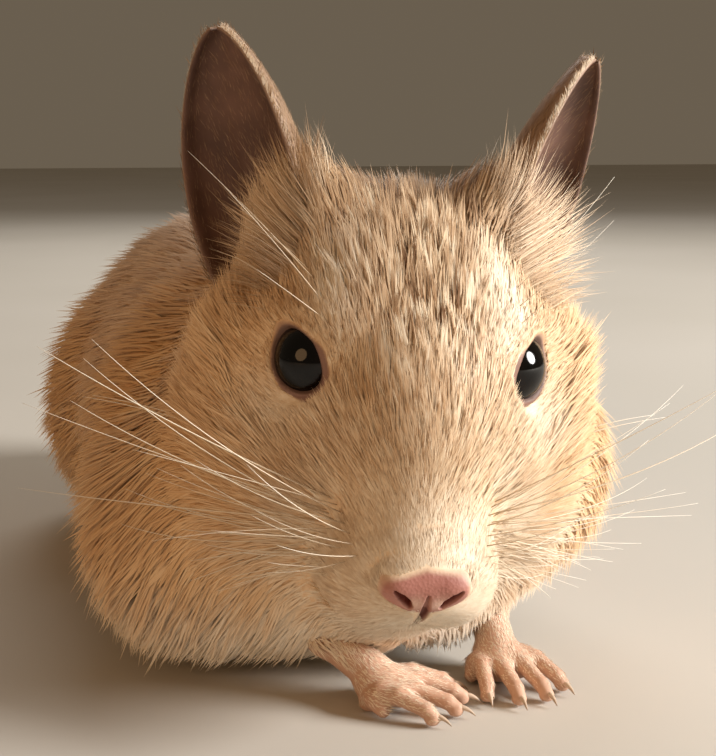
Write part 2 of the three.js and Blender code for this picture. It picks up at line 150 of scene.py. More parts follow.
def masses(table, p, start=None):
    d = start
    flip = p * np.array([-1.0, 1, 1])
    for m in table:
        for side in (1, -1) if m[-1] else (1,):
            q = p if side > 0 else flip
            if m[0] == "ball":
                key = tuple(m[3])
                if key not in ROTS:
                    ROTS[key] = turn(*key)
                e = d_ball(q, m[1], m[2], ROTS[key])
            else:
                e = d_cone(q, m[1], m[2], m[3], m[4])
            d = e if d is None else smin(d, e, m[-2])
    return d


def coat_field(p):
    d = smin(masses(TRUNK, p), d_cone(p, NECK_BACK, NECK_BACK_R, from_head(NECK_FRONT), NECK_FRONT_R), 12)
    d = smin(d, masses(HEAD, to_head(p)), 6)
    return smax(d, FLOOR_CLEAR - p[..., 2], 5)


# ------------------------------------------------------------------ surface of a field (surface nets)
def nets(field, lo, hi, step):
    """Vertices and quads where field is 0, over the grid from lo to hi."""
    n = [int(math.ceil((hi[i] - lo[i]) / step)) + 1 for i in range(3)]
    ax = [lo[i] + step * np.arange(n[i]) for i in range(3)]
    v = np.empty(n, np.float32)
    yz = np.stack(np.meshgrid(ax[1], ax[2], indexing="ij"), -1).reshape(-1, 2)
    block = max(1, 400000 // len(yz))
    for i in range(0, n[0], block):
        xs = ax[0][i:i + block]
        p = np.concatenate([np.repeat(xs, len(yz))[:, None], np.tile(yz, (len(xs), 1))], 1)
        v[i:i + block] = field(p).reshape(len(xs), n[1], n[2])
    for a in range(3):
        s = [slice(None)] * 3
        for end in (0, -1):
            s[a] = end
            v[tuple(s)] = np.maximum(v[tuple(s)], 0.35 * step)
    inside = v < 0
    c = [inside[i:n[0] - 1 + i, j:n[1] - 1 + j, k:n[2] - 1 + k] for i in (0, 1) for j in (0, 1) for k in (0, 1)]
    total = sum(x.astype(np.int8) for x in c)
    cells = np.argwhere((total > 0) & (total < 8))
    index = -np.ones([m - 1 for m in n], np.int64)
    index[tuple(cells.T)] = np.arange(len(cells))
    corner = np.array([[i, j, k] for i in (0, 1) for j in (0, 1) for k in (0, 1)])
    vals = np.stack([v[tuple((cells + o).T)] for o in corner], 1)
    acc, cnt = np.zeros((len(cells), 3)), np.zeros(len(cells))
    for a in range(8):
        for b in range(a + 1, 8):
            if np.abs(corner[a] - corner[b]).sum() != 1:
                continue
            cross = (vals[:, a] < 0) != (vals[:, b] < 0)
            t = np.where(cross, vals[:, a] / np.where(cross, vals[:, a] - vals[:, b], 1), 0)
            acc += cross[:, None] * (corner[a] + t[:, None] * (corner[b] - corner[a]))
            cnt += cross
    verts = np.array(lo) + step * (cells + acc / cnt[:, None])
    quads = []
    for d in range(3):
        u, w = (d + 1) % 3, (d + 2) % 3
        s0, s1 = [slice(None)] * 3, [slice(None)] * 3
        s0[d], s1[d] = slice(0, n[d] - 1), slice(1, n[d])
        for e in (u, w):
            s0[e] = s1[e] = slice(1, n[e] - 1)
        a, b = inside[tuple(s0)], inside[tuple(s1)]
        at = np.argwhere(a != b)
        if not len(at):
            continue
        out = a[tuple(at.T)]
        at[:, u] += 1
        at[:, w] += 1
        eu, ew = np.zeros(3, int), np.zeros(3, int)
        eu[u], ew[w] = 1, 1
        q = np.stack([index[tuple((at - eu - ew).T)], index[tuple((at - ew).T)], index[tuple(at.T)], index[tuple((at - eu).T)]], 1)
        q[~out] = q[~out][:, ::-1]
        quads.append(q)
    return verts, np.concatenate(quads)


def gradient(field, p, e=0.02):
    g = np.empty_like(p)
    for a in range(3):
        o = np.zeros(3)
        o[a] = e
        g[:, a] = (field(p + o) - field(p - o)) / (2 * e)
    return g


def project(field, p, times=3, limit=0.5):
    for _ in range(times):
        g = gradient(field, p)
        d = field(p)
        move = -g * (d / np.maximum((g * g).sum(1), 0.2))[:, None]
        length = np.linalg.norm(move, axis=1, keepdims=True)
        p = p + move * np.minimum(1, limit / np.maximum(length, 1e-9))
    return p


def triangles(quads, verts):
    a, b, c, d = quads.T
    short = np.linalg.norm(verts[a] - verts[c], axis=1) < np.linalg.norm(verts[b] - verts[d], axis=1)
    t1 = np.where(short[:, None], np.stack([a, b, c], 1), np.stack([a, b, d], 1))
    t2 = np.where(short[:, None], np.stack([a, c, d], 1), np.stack([b, c, d], 1))
    return np.concatenate([t1, t2])


def refine(verts, tris, marked):
    """Splits the marked triangles in four, and their neighbours to fit."""
    e = np.sort(np.concatenate([tris[:, [0, 1]], tris[:, [1, 2]], tris[:, [2, 0]]]), axis=1)
    key = e[:, 0].astype(np.int64) * (len(verts) + 1) + e[:, 1]
    uniq, first, inv = np.unique(key, return_index=True, return_inverse=True)
    split = np.zeros(len(uniq), bool)
    split[inv[np.tile(marked, 3)]] = True
    new = -np.ones(len(uniq), np.int64)
    new[split] = len(verts) + np.arange(split.sum())
    pairs = e[first[split]]
    verts = np.concatenate([verts, verts[pairs].mean(1)])
    n = len(tris)
    m = np.stack([new[inv[:n]], new[inv[n:2 * n]], new[inv[2 * n:]]], 1)
    count = (m >= 0).sum(1)
    out = [tris[count == 0]]
    t, k = tris[count == 3], m[count == 3]
    out += [np.stack([t[:, 0], k[:, 0], k[:, 2]], 1), np.stack([k[:, 0], t[:, 1], k[:, 1]], 1), np.stack([k[:, 2], k[:, 1], t[:, 2]], 1), k]
    for r in range(3):
        a, b, c = r, (r + 1) % 3, (r + 2) % 3
        s = (count == 1) & (m[:, a] >= 0)
        t, k = tris[s], m[s][:, a]
        out += [np.stack([t[:, a], k, t[:, c]], 1), np.stack([k, t[:, b], t[:, c]], 1)]
        s = (count == 2) & (m[:, c] < 0) if r == 0 else (count == 2) & (m[:, c] < 0)
        t, k1, k2 = tris[s], m[s][:, a], m[s][:, b]
        out += [np.stack([t[:, a], k1, t[:, c]], 1), np.stack([k1, k2, t[:, c]], 1), np.stack([k1, t[:, b], k2], 1)]
    return verts, np.concatenate(out)


def normals_of(verts, tris):
    n = np.cross(verts[tris[:, 1]] - verts[tris[:, 0]], verts[tris[:, 2]] - verts[tris[:, 0]])
    out = np.zeros_like(verts)
    for i in range(3):
        for a in range(3):
            out[:, a] += np.bincount(tris[:, i], n[:, a], len(verts))
    return unit(out)


# ------------------------------------------------------------------ meshes
def make_mesh(name, verts, faces, smooth=True):
    """A mesh object from arrays in millimetres of the animal's own frame; faces all have the same number of corners."""
    verts = (np.asarray(verts, float) + SHIFT) * 0.001
    faces = np.asarray(faces)
    me = bpy.data.meshes.new(name)
    k = faces.shape[1]
    me.vertices.add(len(verts))
    me.vertices.foreach_set("co", verts.astype(np.float32).ravel())
    me.loops.add(faces.size)
    me.loops.foreach_set("vertex_index", faces.astype(np.int32).ravel())
    me.polygons.add(len(faces))
    me.polygons.foreach_set("loop_start", (np.arange(len(faces)) * k).astype(np.int32))
    me.polygons.foreach_set("use_smooth", np.full(len(faces), smooth))
    me.update(calc_edges=True)
    me.validate()
    ob = bpy.data.objects.new(name, me)
    bpy.context.scene.collection.objects.link(ob)
    return ob


def add_attribute(ob, name, values, domain="POINT"):
    values = np.asarray(values, np.float32)
    kind = "FLOAT" if values.ndim == 1 else "FLOAT_VECTOR"
    at = ob.data.attributes.new(name, kind, domain)
    at.data.foreach_set("value" if kind == "FLOAT" else "vector", values.ravel())


def smooth_step(x, a, b):
    t = np.clip((x - a) / (b - a), 0, 1)
    return t * t * (3 - 2 * t)


# ------------------------------------------------------------------ the flesh under the coat
NOSE_TIP = np.array([0.0, -24, -9])
EYE_AXIS = unit([0.785, -0.491, 0.378])
EYE_BACK = unit(np.array([0.0, 1, 0]) - EYE_AXIS[1] * EYE_AXIS)
EYE_UP = np.cross(EYE_AXIS, EYE_BACK)
MIRROR = np.array([-1.0, 1, 1])


def coat_depth(h):
    """How far the skin lies under the coat's surface; h in the head's frame."""
    s = np.linalg.norm(h - NOSE_TIP, axis=1)
    d = np.interp(s, [0, 4, 8, 15, 25, 38, 55], [0.05, 0.25, 0.5, 0.85, 1.3, 2.1, 3.3])
    for side in (1, -1):
        e = np.linalg.norm(h - [side * EYE_OUT, 0, 0], axis=1)
        d = d * (0.35 + 0.65 * smooth_step(e, 5.0, 10.0))
    return d


def path(h, points, radii):
    """Distance to a round-ended path in the head's frame."""
    d = None
    for i in range(len(points) - 1):
        e = d_cone(h, points[i], radii[i], points[i + 1], radii[i + 1])
        d = e if d is None else np.minimum(d, e)
    return d


def groove(h, points, radii, look):
    """Distance to a line drawn on the surface, seen along the direction look."""
    look = unit(look)
    flat = lambda x: np.asarray(x, float) - (np.asarray(x, float) @ look)[..., None] * look
    return path(flat(h), flat(points), radii)


def eye_ring(q):
    """Place on the eyeball of the left side: 1 on the edge of the opening; with the distance and the turn from its axis."""
    e = q - [EYE_OUT, 0, 0]
    r = np.linalg.norm(e, axis=1)
    u = e / np.maximum(r, 1e-6)[:, None]
    b, w, a = u @ EYE_BACK * EYE_R + 0.1, u @ EYE_UP * EYE_R - 0.35, u @ EYE_AXIS
    point = np.where(b > 0, 1.55, 1.8)
    ring = ((np.abs(b) / np.where(b > 0, 3.75, 3.6)) ** point + (np.abs(w) / 2.98) ** 2.1) ** 0.526
    return ring * (1 + 0.9 * np.clip(0.58 - a, 0, None)), r, a


def face_details(h, d):
    """Eye sockets, lids and the wings of the nose on the flesh d."""
    for m in (1.0, -1.0):
        q = h * [m, 1, 1]
        ring, r, a = eye_ring(q)
        # the face lies close round the eyeball, so that the lids are thin
        away = r * np.sqrt(np.clip(1 - a * a, 0, 1))
        plate = r * a - 3.3 - 0.24 * np.maximum(away - 4.2, 0) - 7 * smooth_step(r, 9.5, 13.5)
        plate = np.where(a > -0.3, plate, -5.0)
        d = np.where(r < 14, smax(d, smin(plate, r - 5.1, 0.6), 0.8), d)
        d = smin(d, np.where(a > 0, r - 5.05, 9.0), 0.5)
        opening = np.where(a > 0, (ring - 1) * 3.3, 3.0)
        d = smax(d, -np.maximum(opening, 3.9 - r), 0.22)
        d = smin(d, d_ball(q, [3.1, -24.2, -7.1], [1.6, 1.4, 1.0], np.eye(3)), 1.7)
    return d


NOSTRIL = [[1.75, -26.25, -8.6], [2.15, -26.1, -8.05], [2.7, -25.8, -7.55], [3.35, -25.2, -7.15]]
LIP = [[0.0, -26, -13.7], [2.6, -24.0, -14.4], [5.2, -20.6, -15.4], [7.2, -16.5, -16.4]]
CLEFT = [[0, -25.8, -7.3], [0, -26.4, -8.8], [0, -26.4, -11.2], [0, -26.1, -13.7]]


def face_lines(h):
    """Distances to the nostril, the line of the mouth and the split of the upper lip, drawn on the face."""
    q = np.stack([np.abs(h[:, 0]), h[:, 1], h[:, 2]], 1)
    return (groove(q, NOSTRIL, [0.26, 0.44, 0.42, 0.14], [0.3, -0.78, 0.55]),
            groove(q, LIP, [0.2, 0.26, 0.26, 0.12], [0.45, -0.85, -0.15]),
            groove(h, CLEFT, [0.16, 0.4, 0.34, 0.24], [0, -0.95, 0.3]))


def pressed_in(h):
    """How deep those lines are pressed into the skin."""
    nostril, lip, cleft = face_lines(h)
    front = smooth_step(-h[:, 1], 14, 17)
    return front * (1.0 * smooth_step(-nostril, -0.16, 0.3) + 0.6 * smooth_step(-lip, -0.25, 0.2) + 0.65 * smooth_step(-cleft, -0.18, 0.24))


def soft_coat(p):
    """The coat with a softer fold between cheek and shoulder, as the long hair there fills it."""
    d = smin(masses(TRUNK, p), d_cone(p, NECK_BACK, NECK_BACK_R, from_head(NECK_FRONT), NECK_FRONT_R), 12)
    d = smin(d, masses(HEAD, to_head(p)), 13)
    return smax(d, FLOOR_CLEAR - p[..., 2], 5)


def flesh(p):
    h = to_head(p)
    d = soft_coat(p) + coat_depth(h)
    near = (h[:, 1] < 14) & (np.abs(h[:, 0]) < 23) & (h[:, 2] > -24) & (h[:, 2] < 14) & (np.abs(d) < 6)
    if near.any():
        d[near] = face_details(h[near], d[near])
    return d


def sparse(field, coarse, reach):
    """A field that is only worked out exactly near the surface, for the grid; coarse is a cheap guess."""
    def inner(p):
        d = coarse(p)
        m = np.abs(d) < reach
        d[m] = field(p[m])
        return d
    return inner


class Lattice:
    """A coarse grid of a field, read by trilinear steps."""

    def __init__(self, field, lo, hi, step):
        self.lo, self.step = np.array(lo, float), step
        self.n = [int(math.ceil((hi[i] - lo[i]) / step)) + 2 for i in range(3)]
        g = np.stack(np.meshgrid(*[lo[i] + step * np.arange(self.n[i]) for i in range(3)], indexing="ij"), -1)
        self.v = field(g.reshape(-1, 3)).reshape(self.n)

    def __call__(self, p):
        q = (p - self.lo) / self.step
        i = np.clip(np.floor(q).astype(int), 0, np.array(self.n) - 2)
        f = q - i
        out = 0
        for a in (0, 1):
            for b in (0, 1):
                for c in (0, 1):
                    w = (f[:, 0] if a else 1 - f[:, 0]) * (f[:, 1] if b else 1 - f[:, 1]) * (f[:, 2] if c else 1 - f[:, 2])
                    out = out + w * self.v[i[:, 0] + a, i[:, 1] + b, i[:, 2] + c]
        return out


BODY_LO, BODY_HI = [-36.0, -80.0, -1.0], [37.0, 60.0, 64.0]
guess = Lattice(lambda p: soft_coat(p) + coat_depth(to_head(p)), BODY_LO, BODY_HI, 4.0)
say("lattice")
verts, quads = nets(sparse(flesh, guess, 3.2), BODY_LO, BODY_HI, 0.95)
tris = triangles(quads, verts)
verts = project(flesh, verts, 2, 0.5)
say("skin grid", len(verts), len(tris))


def near_face(c):
    h = to_head(c)
    m = np.linalg.norm(h - NOSE_TIP - [0, 0, -1], axis=1) < 8.5
    for side in (1, -1):
        m |= np.linalg.norm(h - [side * EYE_OUT, 0, 0], axis=1) < 6.6
    return m


def near_lines(c, reach):
    """True close to the nostrils, the mouth and the split lip."""
    h = to_head(c)
    out = np.zeros(len(c), bool)
    m = (h[:, 1] < -14) & (h[:, 2] > -19) & (h[:, 2] < -3)
    nostril, lip, cleft = face_lines(h[m])
    out[m] = (nostril < reach) | (lip < reach * 0.7) | (cleft < reach)
    return out


for level in range(4):
    c = verts[tris].mean(1)
    h = to_head(c)
    e = np.minimum(np.linalg.norm(h - [EYE_OUT, 0, 0], axis=1), np.linalg.norm(h + [EYE_OUT, 0, 0], axis=1))
    s = np.linalg.norm(h - NOSE_TIP - [0, 0, -1], axis=1)
    if level == 0:
        m = near_face(c) | near_lines(c, 1.6)
    elif level == 1:
        m = (e < 5.9) | (s < 6.6) | near_lines(c, 1.0)
    elif level == 2:
        m = near_lines(c, 0.7)
    else:
        m = near_lines(c, 0.45) & (s < 6)
    verts, tris = refine(verts, tris, m)
    h = to_head(verts)
    s = np.minimum(np.linalg.norm(h - NOSE_TIP - [0, 0, -1], axis=1), np.minimum(np.linalg.norm(h - [EYE_OUT, 0, 0], axis=1), np.linalg.norm(h + [EYE_OUT, 0, 0], axis=1)) + 1.5)
    mine = s < 12.5
    verts[mine] = project(flesh, verts[mine], 3, 0.3)
h = to_head(verts)
m = np.linalg.norm(h - NOSE_TIP, axis=1) < 14
verts[m] -= normals_of(verts, tris)[m] * pressed_in(h[m])[:, None]
say("refined", len(verts), len(tris))
body_skin = (verts, tris)


# ------------------------------------------------------------------ ears
def ear_sheet(u, v, width=None):
    half = (EAR["width"] / 2) * np.sin(np.pi * np.clip(0.2 + 0.8 * u, 0, 1)) ** 0.6
    deep = EAR["hollow"] * (1 - 0.75 * u * np.abs(u)) * np.cos(np.pi / 2 * v * 0.985) ** 0.8
    return EAR["height"] * u, half * np.sin(np.pi / 2 * v), deep


EAR_UP = unit(EAR["up"])
EAR_OUT = unit(np.cross(EAR_UP, EAR["face"]))
EAR_LOOK = np.cross(EAR_OUT, EAR_UP)


def ear_point(u, v):
    along, across, deep = ear_sheet(u, v)
    return np.array(EAR["root"]) + along[..., None] * EAR_UP + across[..., None] * EAR_OUT - deep[..., None] * EAR_LOOK


EAR_NU, EAR_NV = 64, 56


def ear_mesh(side):
    i = np.arange(EAR_NU + 1) / EAR_NU
    u = -0.14 + 1.136 * np.sin(np.pi / 2 * i ** 0.9)
    v = np.sin(np.pi / 2 * np.linspace(-1, 1, EAR_NV + 1) * 0.98) / math.sin(np.pi / 2 * 0.98)
    U, V = np.meshgrid(u, v, indexing="ij")
    mid = ear_point(U, V)
    du, dv = np.gradient(mid, axis=0), np.gradient(mid, axis=1)
    n = unit(np.cross(dv, du))
    # folds inside the cup, and veins raised a little from below
    lift = 0.35 * np.exp(-((V - 0.34 + 0.18 * U) / 0.10) ** 2) * smooth_step(U, 0.02, 0.25) * (1 - smooth_step(U, 0.5, 0.85))
    lift = lift + 0.25 * np.exp(-((V + 0.38 - 0.10 * U) / 0.08) ** 2) * smooth_step(U, 0.05, 0.3) * (1 - smooth_step(U, 0.6, 0.9))
    for k, (a, b) in enumerate([(0.1, 0.55), (-0.12, -0.5), (0.02, 0.12), (-0.02, -0.2), (0.2, 0.8)]):
        line = a + (b - a) * np.clip(U, 0, 1) ** 1.3
        lift = lift + 0.07 * np.exp(-((V - line) / 0.03) ** 2) * smooth_step(U, 0.1, 0.3) * (1 - smooth_step(U, 0.75, 0.95))
    rim = np.maximum(np.abs(V), U) ** 6
    thick = 0.95 - 0.45 * np.clip(U, 0, 1) - 0.1 * np.abs(V) + 0.18 * np.exp(-((np.abs(V) - 0.93) / 0.06) ** 2)
    thick = np.maximum(thick, 0.52)
    edge = np.minimum(np.minimum(1 - np.abs(V), (1 - U) * 1.3) / 0.035, 1)
    round_off = 0.35 + 0.65 * np.sqrt(np.clip(1 - (1 - edge) ** 2, 0, 1))
    inner = mid + n * (thick * round_off / 2 + lift)[..., None]
    outer = mid - n * (thick * round_off / 2)[..., None]
    # which face looks into the cup
    if np.mean((n * EAR_LOOK).sum(-1)) < 0:
        inner, outer = mid - n * (thick * round_off / 2 - 0)[..., None] - n * lift[..., None], mid + n * (thick * round_off / 2)[..., None]
    P = np.concatenate([inner.reshape(-1, 3), outer.reshape(-1, 3)])
    face = np.concatenate([np.ones(U.size), np.zeros(U.size)])
    uv = np.concatenate([np.stack([U.ravel(), V.ravel()], 1)] * 2)
    if side < 0:
        P = P * MIRROR
    P = from_head(P)
    a = np.arange((EAR_NU + 1) * (EAR_NV + 1)).reshape(EAR_NU + 1, EAR_NV + 1)
    h = a.size
    q = np.stack([a[:-1, :-1], a[:-1, 1:], a[1:, 1:], a[1:, :-1]], -1).reshape(-1, 4)
    f = [q, q[:, ::-1] + h]
    for row, flip in ((a[0, :], False), (a[-1, :], True), (a[:, 0], True), (a[:, -1], False)):
        s = np.stack([row[:-1], row[:-1] + h, row[1:] + h, row[1:]], 1)
        f.append(s[:, ::-1] if flip else s)
    F = np.concatenate(f)
    T = np.concatenate([F[:, [0, 1, 2]], F[:, [0, 2, 3]]])
    if volume(P, T) < 0:
        T = T[:, ::-1]
    return P, T, face, uv


def volume(v, t):
    return float(np.einsum("ij,ij->i", v[t[:, 0]], np.cross(v[t[:, 1]], v[t[:, 2]])).sum() / 6)


ears = {side: ear_mesh(side) for side in (1, -1)}

# ------------------------------------------------------------------ feet and tail
ARM = {
    1: dict(elbow=[16, -34, 18], mid=[15, -42, 12], wrist=[13.5, -49, 7], palm=[12.8, -55, 3.1], aim=[0.06, -1]),
    -1: dict(elbow=[-14, -38, 18], mid=[-12, -45, 12], wrist=[-8.5, -53, 7.2], palm=[-3.5, -58.5, 3.3], aim=[0.86, -0.5]),
}
FINGERS = [[-3, 0.5, -4.9, 8], [-1.2, 1.6, -1.9, 10.2], [1.1, 1.6, 1.6, 10.4], [3.1, 0.6, 4.8, 8.4]]
TOES = [[17.6, 12, 16.4, 5.5], [19.6, 10, 18.8, 1.5], [22.2, 9, 22.4, -0.5], [24.8, 9.5, 26, 1], [26.4, 12, 28.6, 5.5]]
TAIL = np.array([[0, 49, 26, 8], [1, 60, 17, 5.6], [3, 71, 7.5, 4.2], [8, 88, 3.3, 3.4], [17, 106, 3.3, 3.4], [30, 122, 3.9, 4], [45, 133, 4.6, 4.8], [58, 138, 3.8, 4]])


def arm_frame(side):
    a = ARM[side]
    f = unit([a["aim"][0], a["aim"][1], 0])
    s = np.array([-f[1], f[0], 0])
    palm = np.array([a["palm"][0], a["palm"][1], 0.0])
    return lambda along, across, z: palm + f * along + s * across + np.array([0, 0, z])


def digit(p, pts, radii, k=0.25):
    """A finger: segments with knuckles between them."""
    d = None
    for i in range(len(pts) - 1):
        e = d_cone(p, pts[i], radii[i], pts[i + 1], radii[i + 1])
        d = e if d is None else smin(d, e, k)
    return d


def finger_points(base, mid, tip):
    base, mid, tip = (np.asarray(x, float) for x in (base, mid, tip))
    k1 = base * 0.45 + mid * 0.55 + [0, 0, 0.55]
    k2 = mid * 0.35 + tip * 0.65 + [0, 0, 0.35]
    return [base, k1, k2, tip]


def fore_field(side):
    a, on = ARM[side], arm_frame(side)
    wrist = np.array(a["wrist"])

    def field(p):
        d = d_cone(p, a["elbow"], 4.6, a["mid"], 3.5)
        d = smin(d, d_cone(p, a["mid"], 3.5, a["wrist"], 2.35), 1.5)
        d = smin(d, d_cone(p, a["wrist"], 2.35, on(0.2, 0, 2.9), 2.3), 1.5)
        for c, w in ((-1.7, 1.75), (0, 1.95), (1.8, 1.75)):
            d = smin(d, d_cone(p, on(-1, c * 0.6, 2.6), w, on(2.4, c, 2.3), w * 0.93), 1.2)
        for c0, l0, c1, l1 in FINGERS:
            pts = finger_points(on(l0, c0, 2.5), on((l0 + l1) / 2, (c0 + c1) / 2, 2.0), on(l1 - 1.1, c1, 1.15))
            e = digit(p, pts, [1.25, 1.05, 0.88, 0.75])
            e = smin(e, np.linalg.norm((p - on(l1 - 1.3, c1, 0.85)) / [1, 1, 0.8], axis=1) - 0.85, 0.3)
            d = smin(d, e, 0.8)
        d = smin(d, d_cone(p, on(-0.6, -3.0, 1.9), 1.1, on(1.0, -4.2, 1.1), 0.8), 0.8)  # the small thumb
        for c in (-2.0, 2.0):
            d = smin(d, np.linalg.norm(p - on(-1.0, c, 1.2), axis=1) - 1.3, 0.5)  # palm pads
        return smax(d, 0.05 - p[:, 2], 0.35)
    return field


def hind_field(side):
    s = np.array([side, 1.0, 1.0])

    def field(p):
        q = p * s
        d = d_cone(q, [19, 40, 8.5], 3.6, [20, 30, 4.0], 3.0)
        d = smin(d, d_cone(q, [20, 31, 3.3], 3.0, [21.5, 18, 3.0], 2.7), 1.5)
        for c, w in ((-2.0, 1.9), (0, 2.1), (2.2, 1.9)):
            d = smin(d, d_cone(q, [21 + c * 0.4, 20, 2.8], w, [22.4 + c, 11, 2.4], w * 0.9), 1.2)
        for x0, y0, x1, y1 in TOES:
            v = unit([x1 - x0, y1 - y0])
            pts = finger_points([x0, y0 + 3, 2.4], [(x0 + x1) / 2, (y0 + y1) / 2, 2.0], [x1 - v[0] * 1.0, y1 - v[1] * 1.0, 1.15])
            e = digit(q, pts, [1.4, 1.2, 1.0, 0.85])
            e = smin(e, np.linalg.norm(q - [x1 - v[0] * 1.2, y1 - v[1] * 1.2, 0.95], axis=1) - 0.9, 0.3)
            d = smin(d, e, 0.8)
        return smax(d, 0.05 - p[:, 2], 0.35)
    return field


def foot_mesh(field, lo, hi, step):
    v, q = nets(field, lo, hi, step)
    v = project(field, v, 2, 0.2)
    return v, triangles(q, v)


def bounds_of(points, pad):
    points = np.array(points, float)
    return points.min(0) - pad, points.max(0) + pad


def chain(points, n):
    """A smooth line through points (rows of x y z r): n samples, Catmull-Rom on the rows."""
    P = np.vstack([2 * points[0] - points[1], points, 2 * points[-1] - points[-2]])
    t = np.linspace(0, len(points) - 1, n)
    i = np.clip(t.astype(int), 0, len(points) - 2)
    f = (t - i)[:, None]
    p0, p1, p2, p3 = P[i], P[i + 1], P[i + 2], P[i + 3]
    return 0.5 * (2 * p1 + (p2 - p0) * f + (2 * p0 - 5 * p1 + 4 * p2 - p3) * f ** 2 + (3 * p1 - p0 - 3 * p2 + p3) * f ** 3)


def frames_along(c):
    d = unit(np.gradient(c, axis=0))
    side = np.array([1.0, 0, 0])
    X, Y = [], []
    for t in d:
        y = unit(np.cross(t, side))
        x = np.cross(y, t)
        side = x
        X.append(x)
        Y.append(y)
    return d, np.array(X), np.array(Y)


def tube_mesh(c, r, sides, cap=True):
    d, X, Y = frames_along(c)
    a = np.linspace(0, 2 * np.pi, sides, endpoint=False)
    ring = c[:, None] + r[:, None, None] * (np.cos(a)[None, :, None] * X[:, None] + np.sin(a)[None, :, None] * Y[:, None])
    v = np.vstack([ring.reshape(-1, 3), c[0] - d[0] * r[0] * 0.4, c[-1] + d[-1] * r[-1] * 0.6])
    n = len(c)
    i, s = np.meshgrid(np.arange(n - 1), np.arange(sides), indexing="ij")
    at = lambda i, s: i * sides + s % sides
    t = np.concatenate([np.stack([at(i, s), at(i, s + 1), at(i + 1, s + 1)], -1).reshape(-1, 3), np.stack([at(i, s), at(i + 1, s + 1), at(i + 1, s)], -1).reshape(-1, 3)])
    k = np.arange(sides)
    t = np.concatenate([t, np.stack([np.full(sides, n * sides), at(0, k + 1), at(0, k)], 1), np.stack([np.full(sides, n * sides + 1), at(n - 1, k), at(n - 1, k + 1)], 1)])
    if volume(v, t) < 0:
        t = t[:, ::-1]
    return v, t


tail_line = chain(TAIL, 150)
TAIL_C = tail_line[:, :3].copy()
# the flesh of the tail lies on the floor under its coat: thick at the root, thin at the tip
tt = np.linspace(0, 1, len(TAIL_C))
TAIL_R = np.interp(tt, [0, 0.14, 0.28, 0.45, 0.75, 1.0], [5.2, 4.2, 3.0, 2.5, 1.9, 1.1])
low = np.interp(tt, [0, 0.25, 0.4, 1.0], [9, 3.5, 1.0, 1.0])
TAIL_C[:, 2] = np.where(tt > 0.3, np.maximum(TAIL_R + 0.75, TAIL_C[:, 2] * (1 - smooth_step(tt, 0.3, 0.45)) + (TAIL_R + 0.75) * smooth_step(tt, 0.3, 0.45)), TAIL_C[:, 2])
rings = 1 + 0.035 * np.sin(np.linspace(0, 2 * np.pi * 60, len(TAIL_C)))
tail_skin = tube_mesh(TAIL_C, TAIL_R * rings, 24)

feet = {}
for side in (1, -1):
    a, on = ARM[side], arm_frame(side)
    pts = [a["elbow"], a["mid"], a["wrist"], on(11, -5.5, 0), on(11, 5.5, 0), on(-2, -5.5, 4), on(-2, 5.5, 4)]
    lo3, hi3 = bounds_of(pts, [5.5, 5.5, 5.5])
    lo3[2] = -0.6
    feet["fore", side] = foot_mesh(fore_field(side), lo3, hi3, 0.36)
    lo3, hi3 = bounds_of([[side * 14, -3, 0], [side * 31, 45, 12.5]], [1, 1, 0.6])
    feet["hind", side] = foot_mesh(hind_field(side), lo3, hi3, 0.42)
say("feet, ears, tail", {k: len(v[1]) for k, v in feet.items()})


# ------------------------------------------------------------------ one skin
def union(objects):
    """One closed mesh from overlapping closed ones."""
    base = objects[0]
    for other in objects[1:]:
        mod = base.modifiers.new("union", "BOOLEAN")
        mod.operation, mod.solver, mod.object = "UNION", "MANIFOLD", other
        deps = bpy.context.evaluated_depsgraph_get()
        me = bpy.data.meshes.new_from_object(base.evaluated_get(deps))
        base.modifiers.clear()
        if len(me.vertices) > max(len(base.data.vertices), 10):
            base.data = me
        else:
            say("union left one out", other.name)
        bpy.data.objects.remove(other)
    return base


parts = [make_mesh("skin", *body_skin), make_mesh("s_tail", *tail_skin)]
for side in (1, -1):
    parts.append(make_mesh(f"s_ear{side}", ears[side][0], ears[side][1]))
    for kind in ("fore", "hind"):
        parts.append(make_mesh(f"s_{kind}{side}", *feet[kind, side]))
skin = union(parts)
say("skin", len(skin.data.vertices), len(skin.data.polygons))


# ------------------------------------------------------------------ markings with some painted light and shade, the same for skin and coat
def trunk_share(p):
    """0 on the head, 1 on the neck and trunk."""
    return smooth_step(masses(HEAD, to_head(p)) - masses(TRUNK, p), -5, 6)


def bell(h, c, r):
    return np.exp(-(((h - np.array(c, float)) / np.array(r, float)) ** 2).sum(-1))


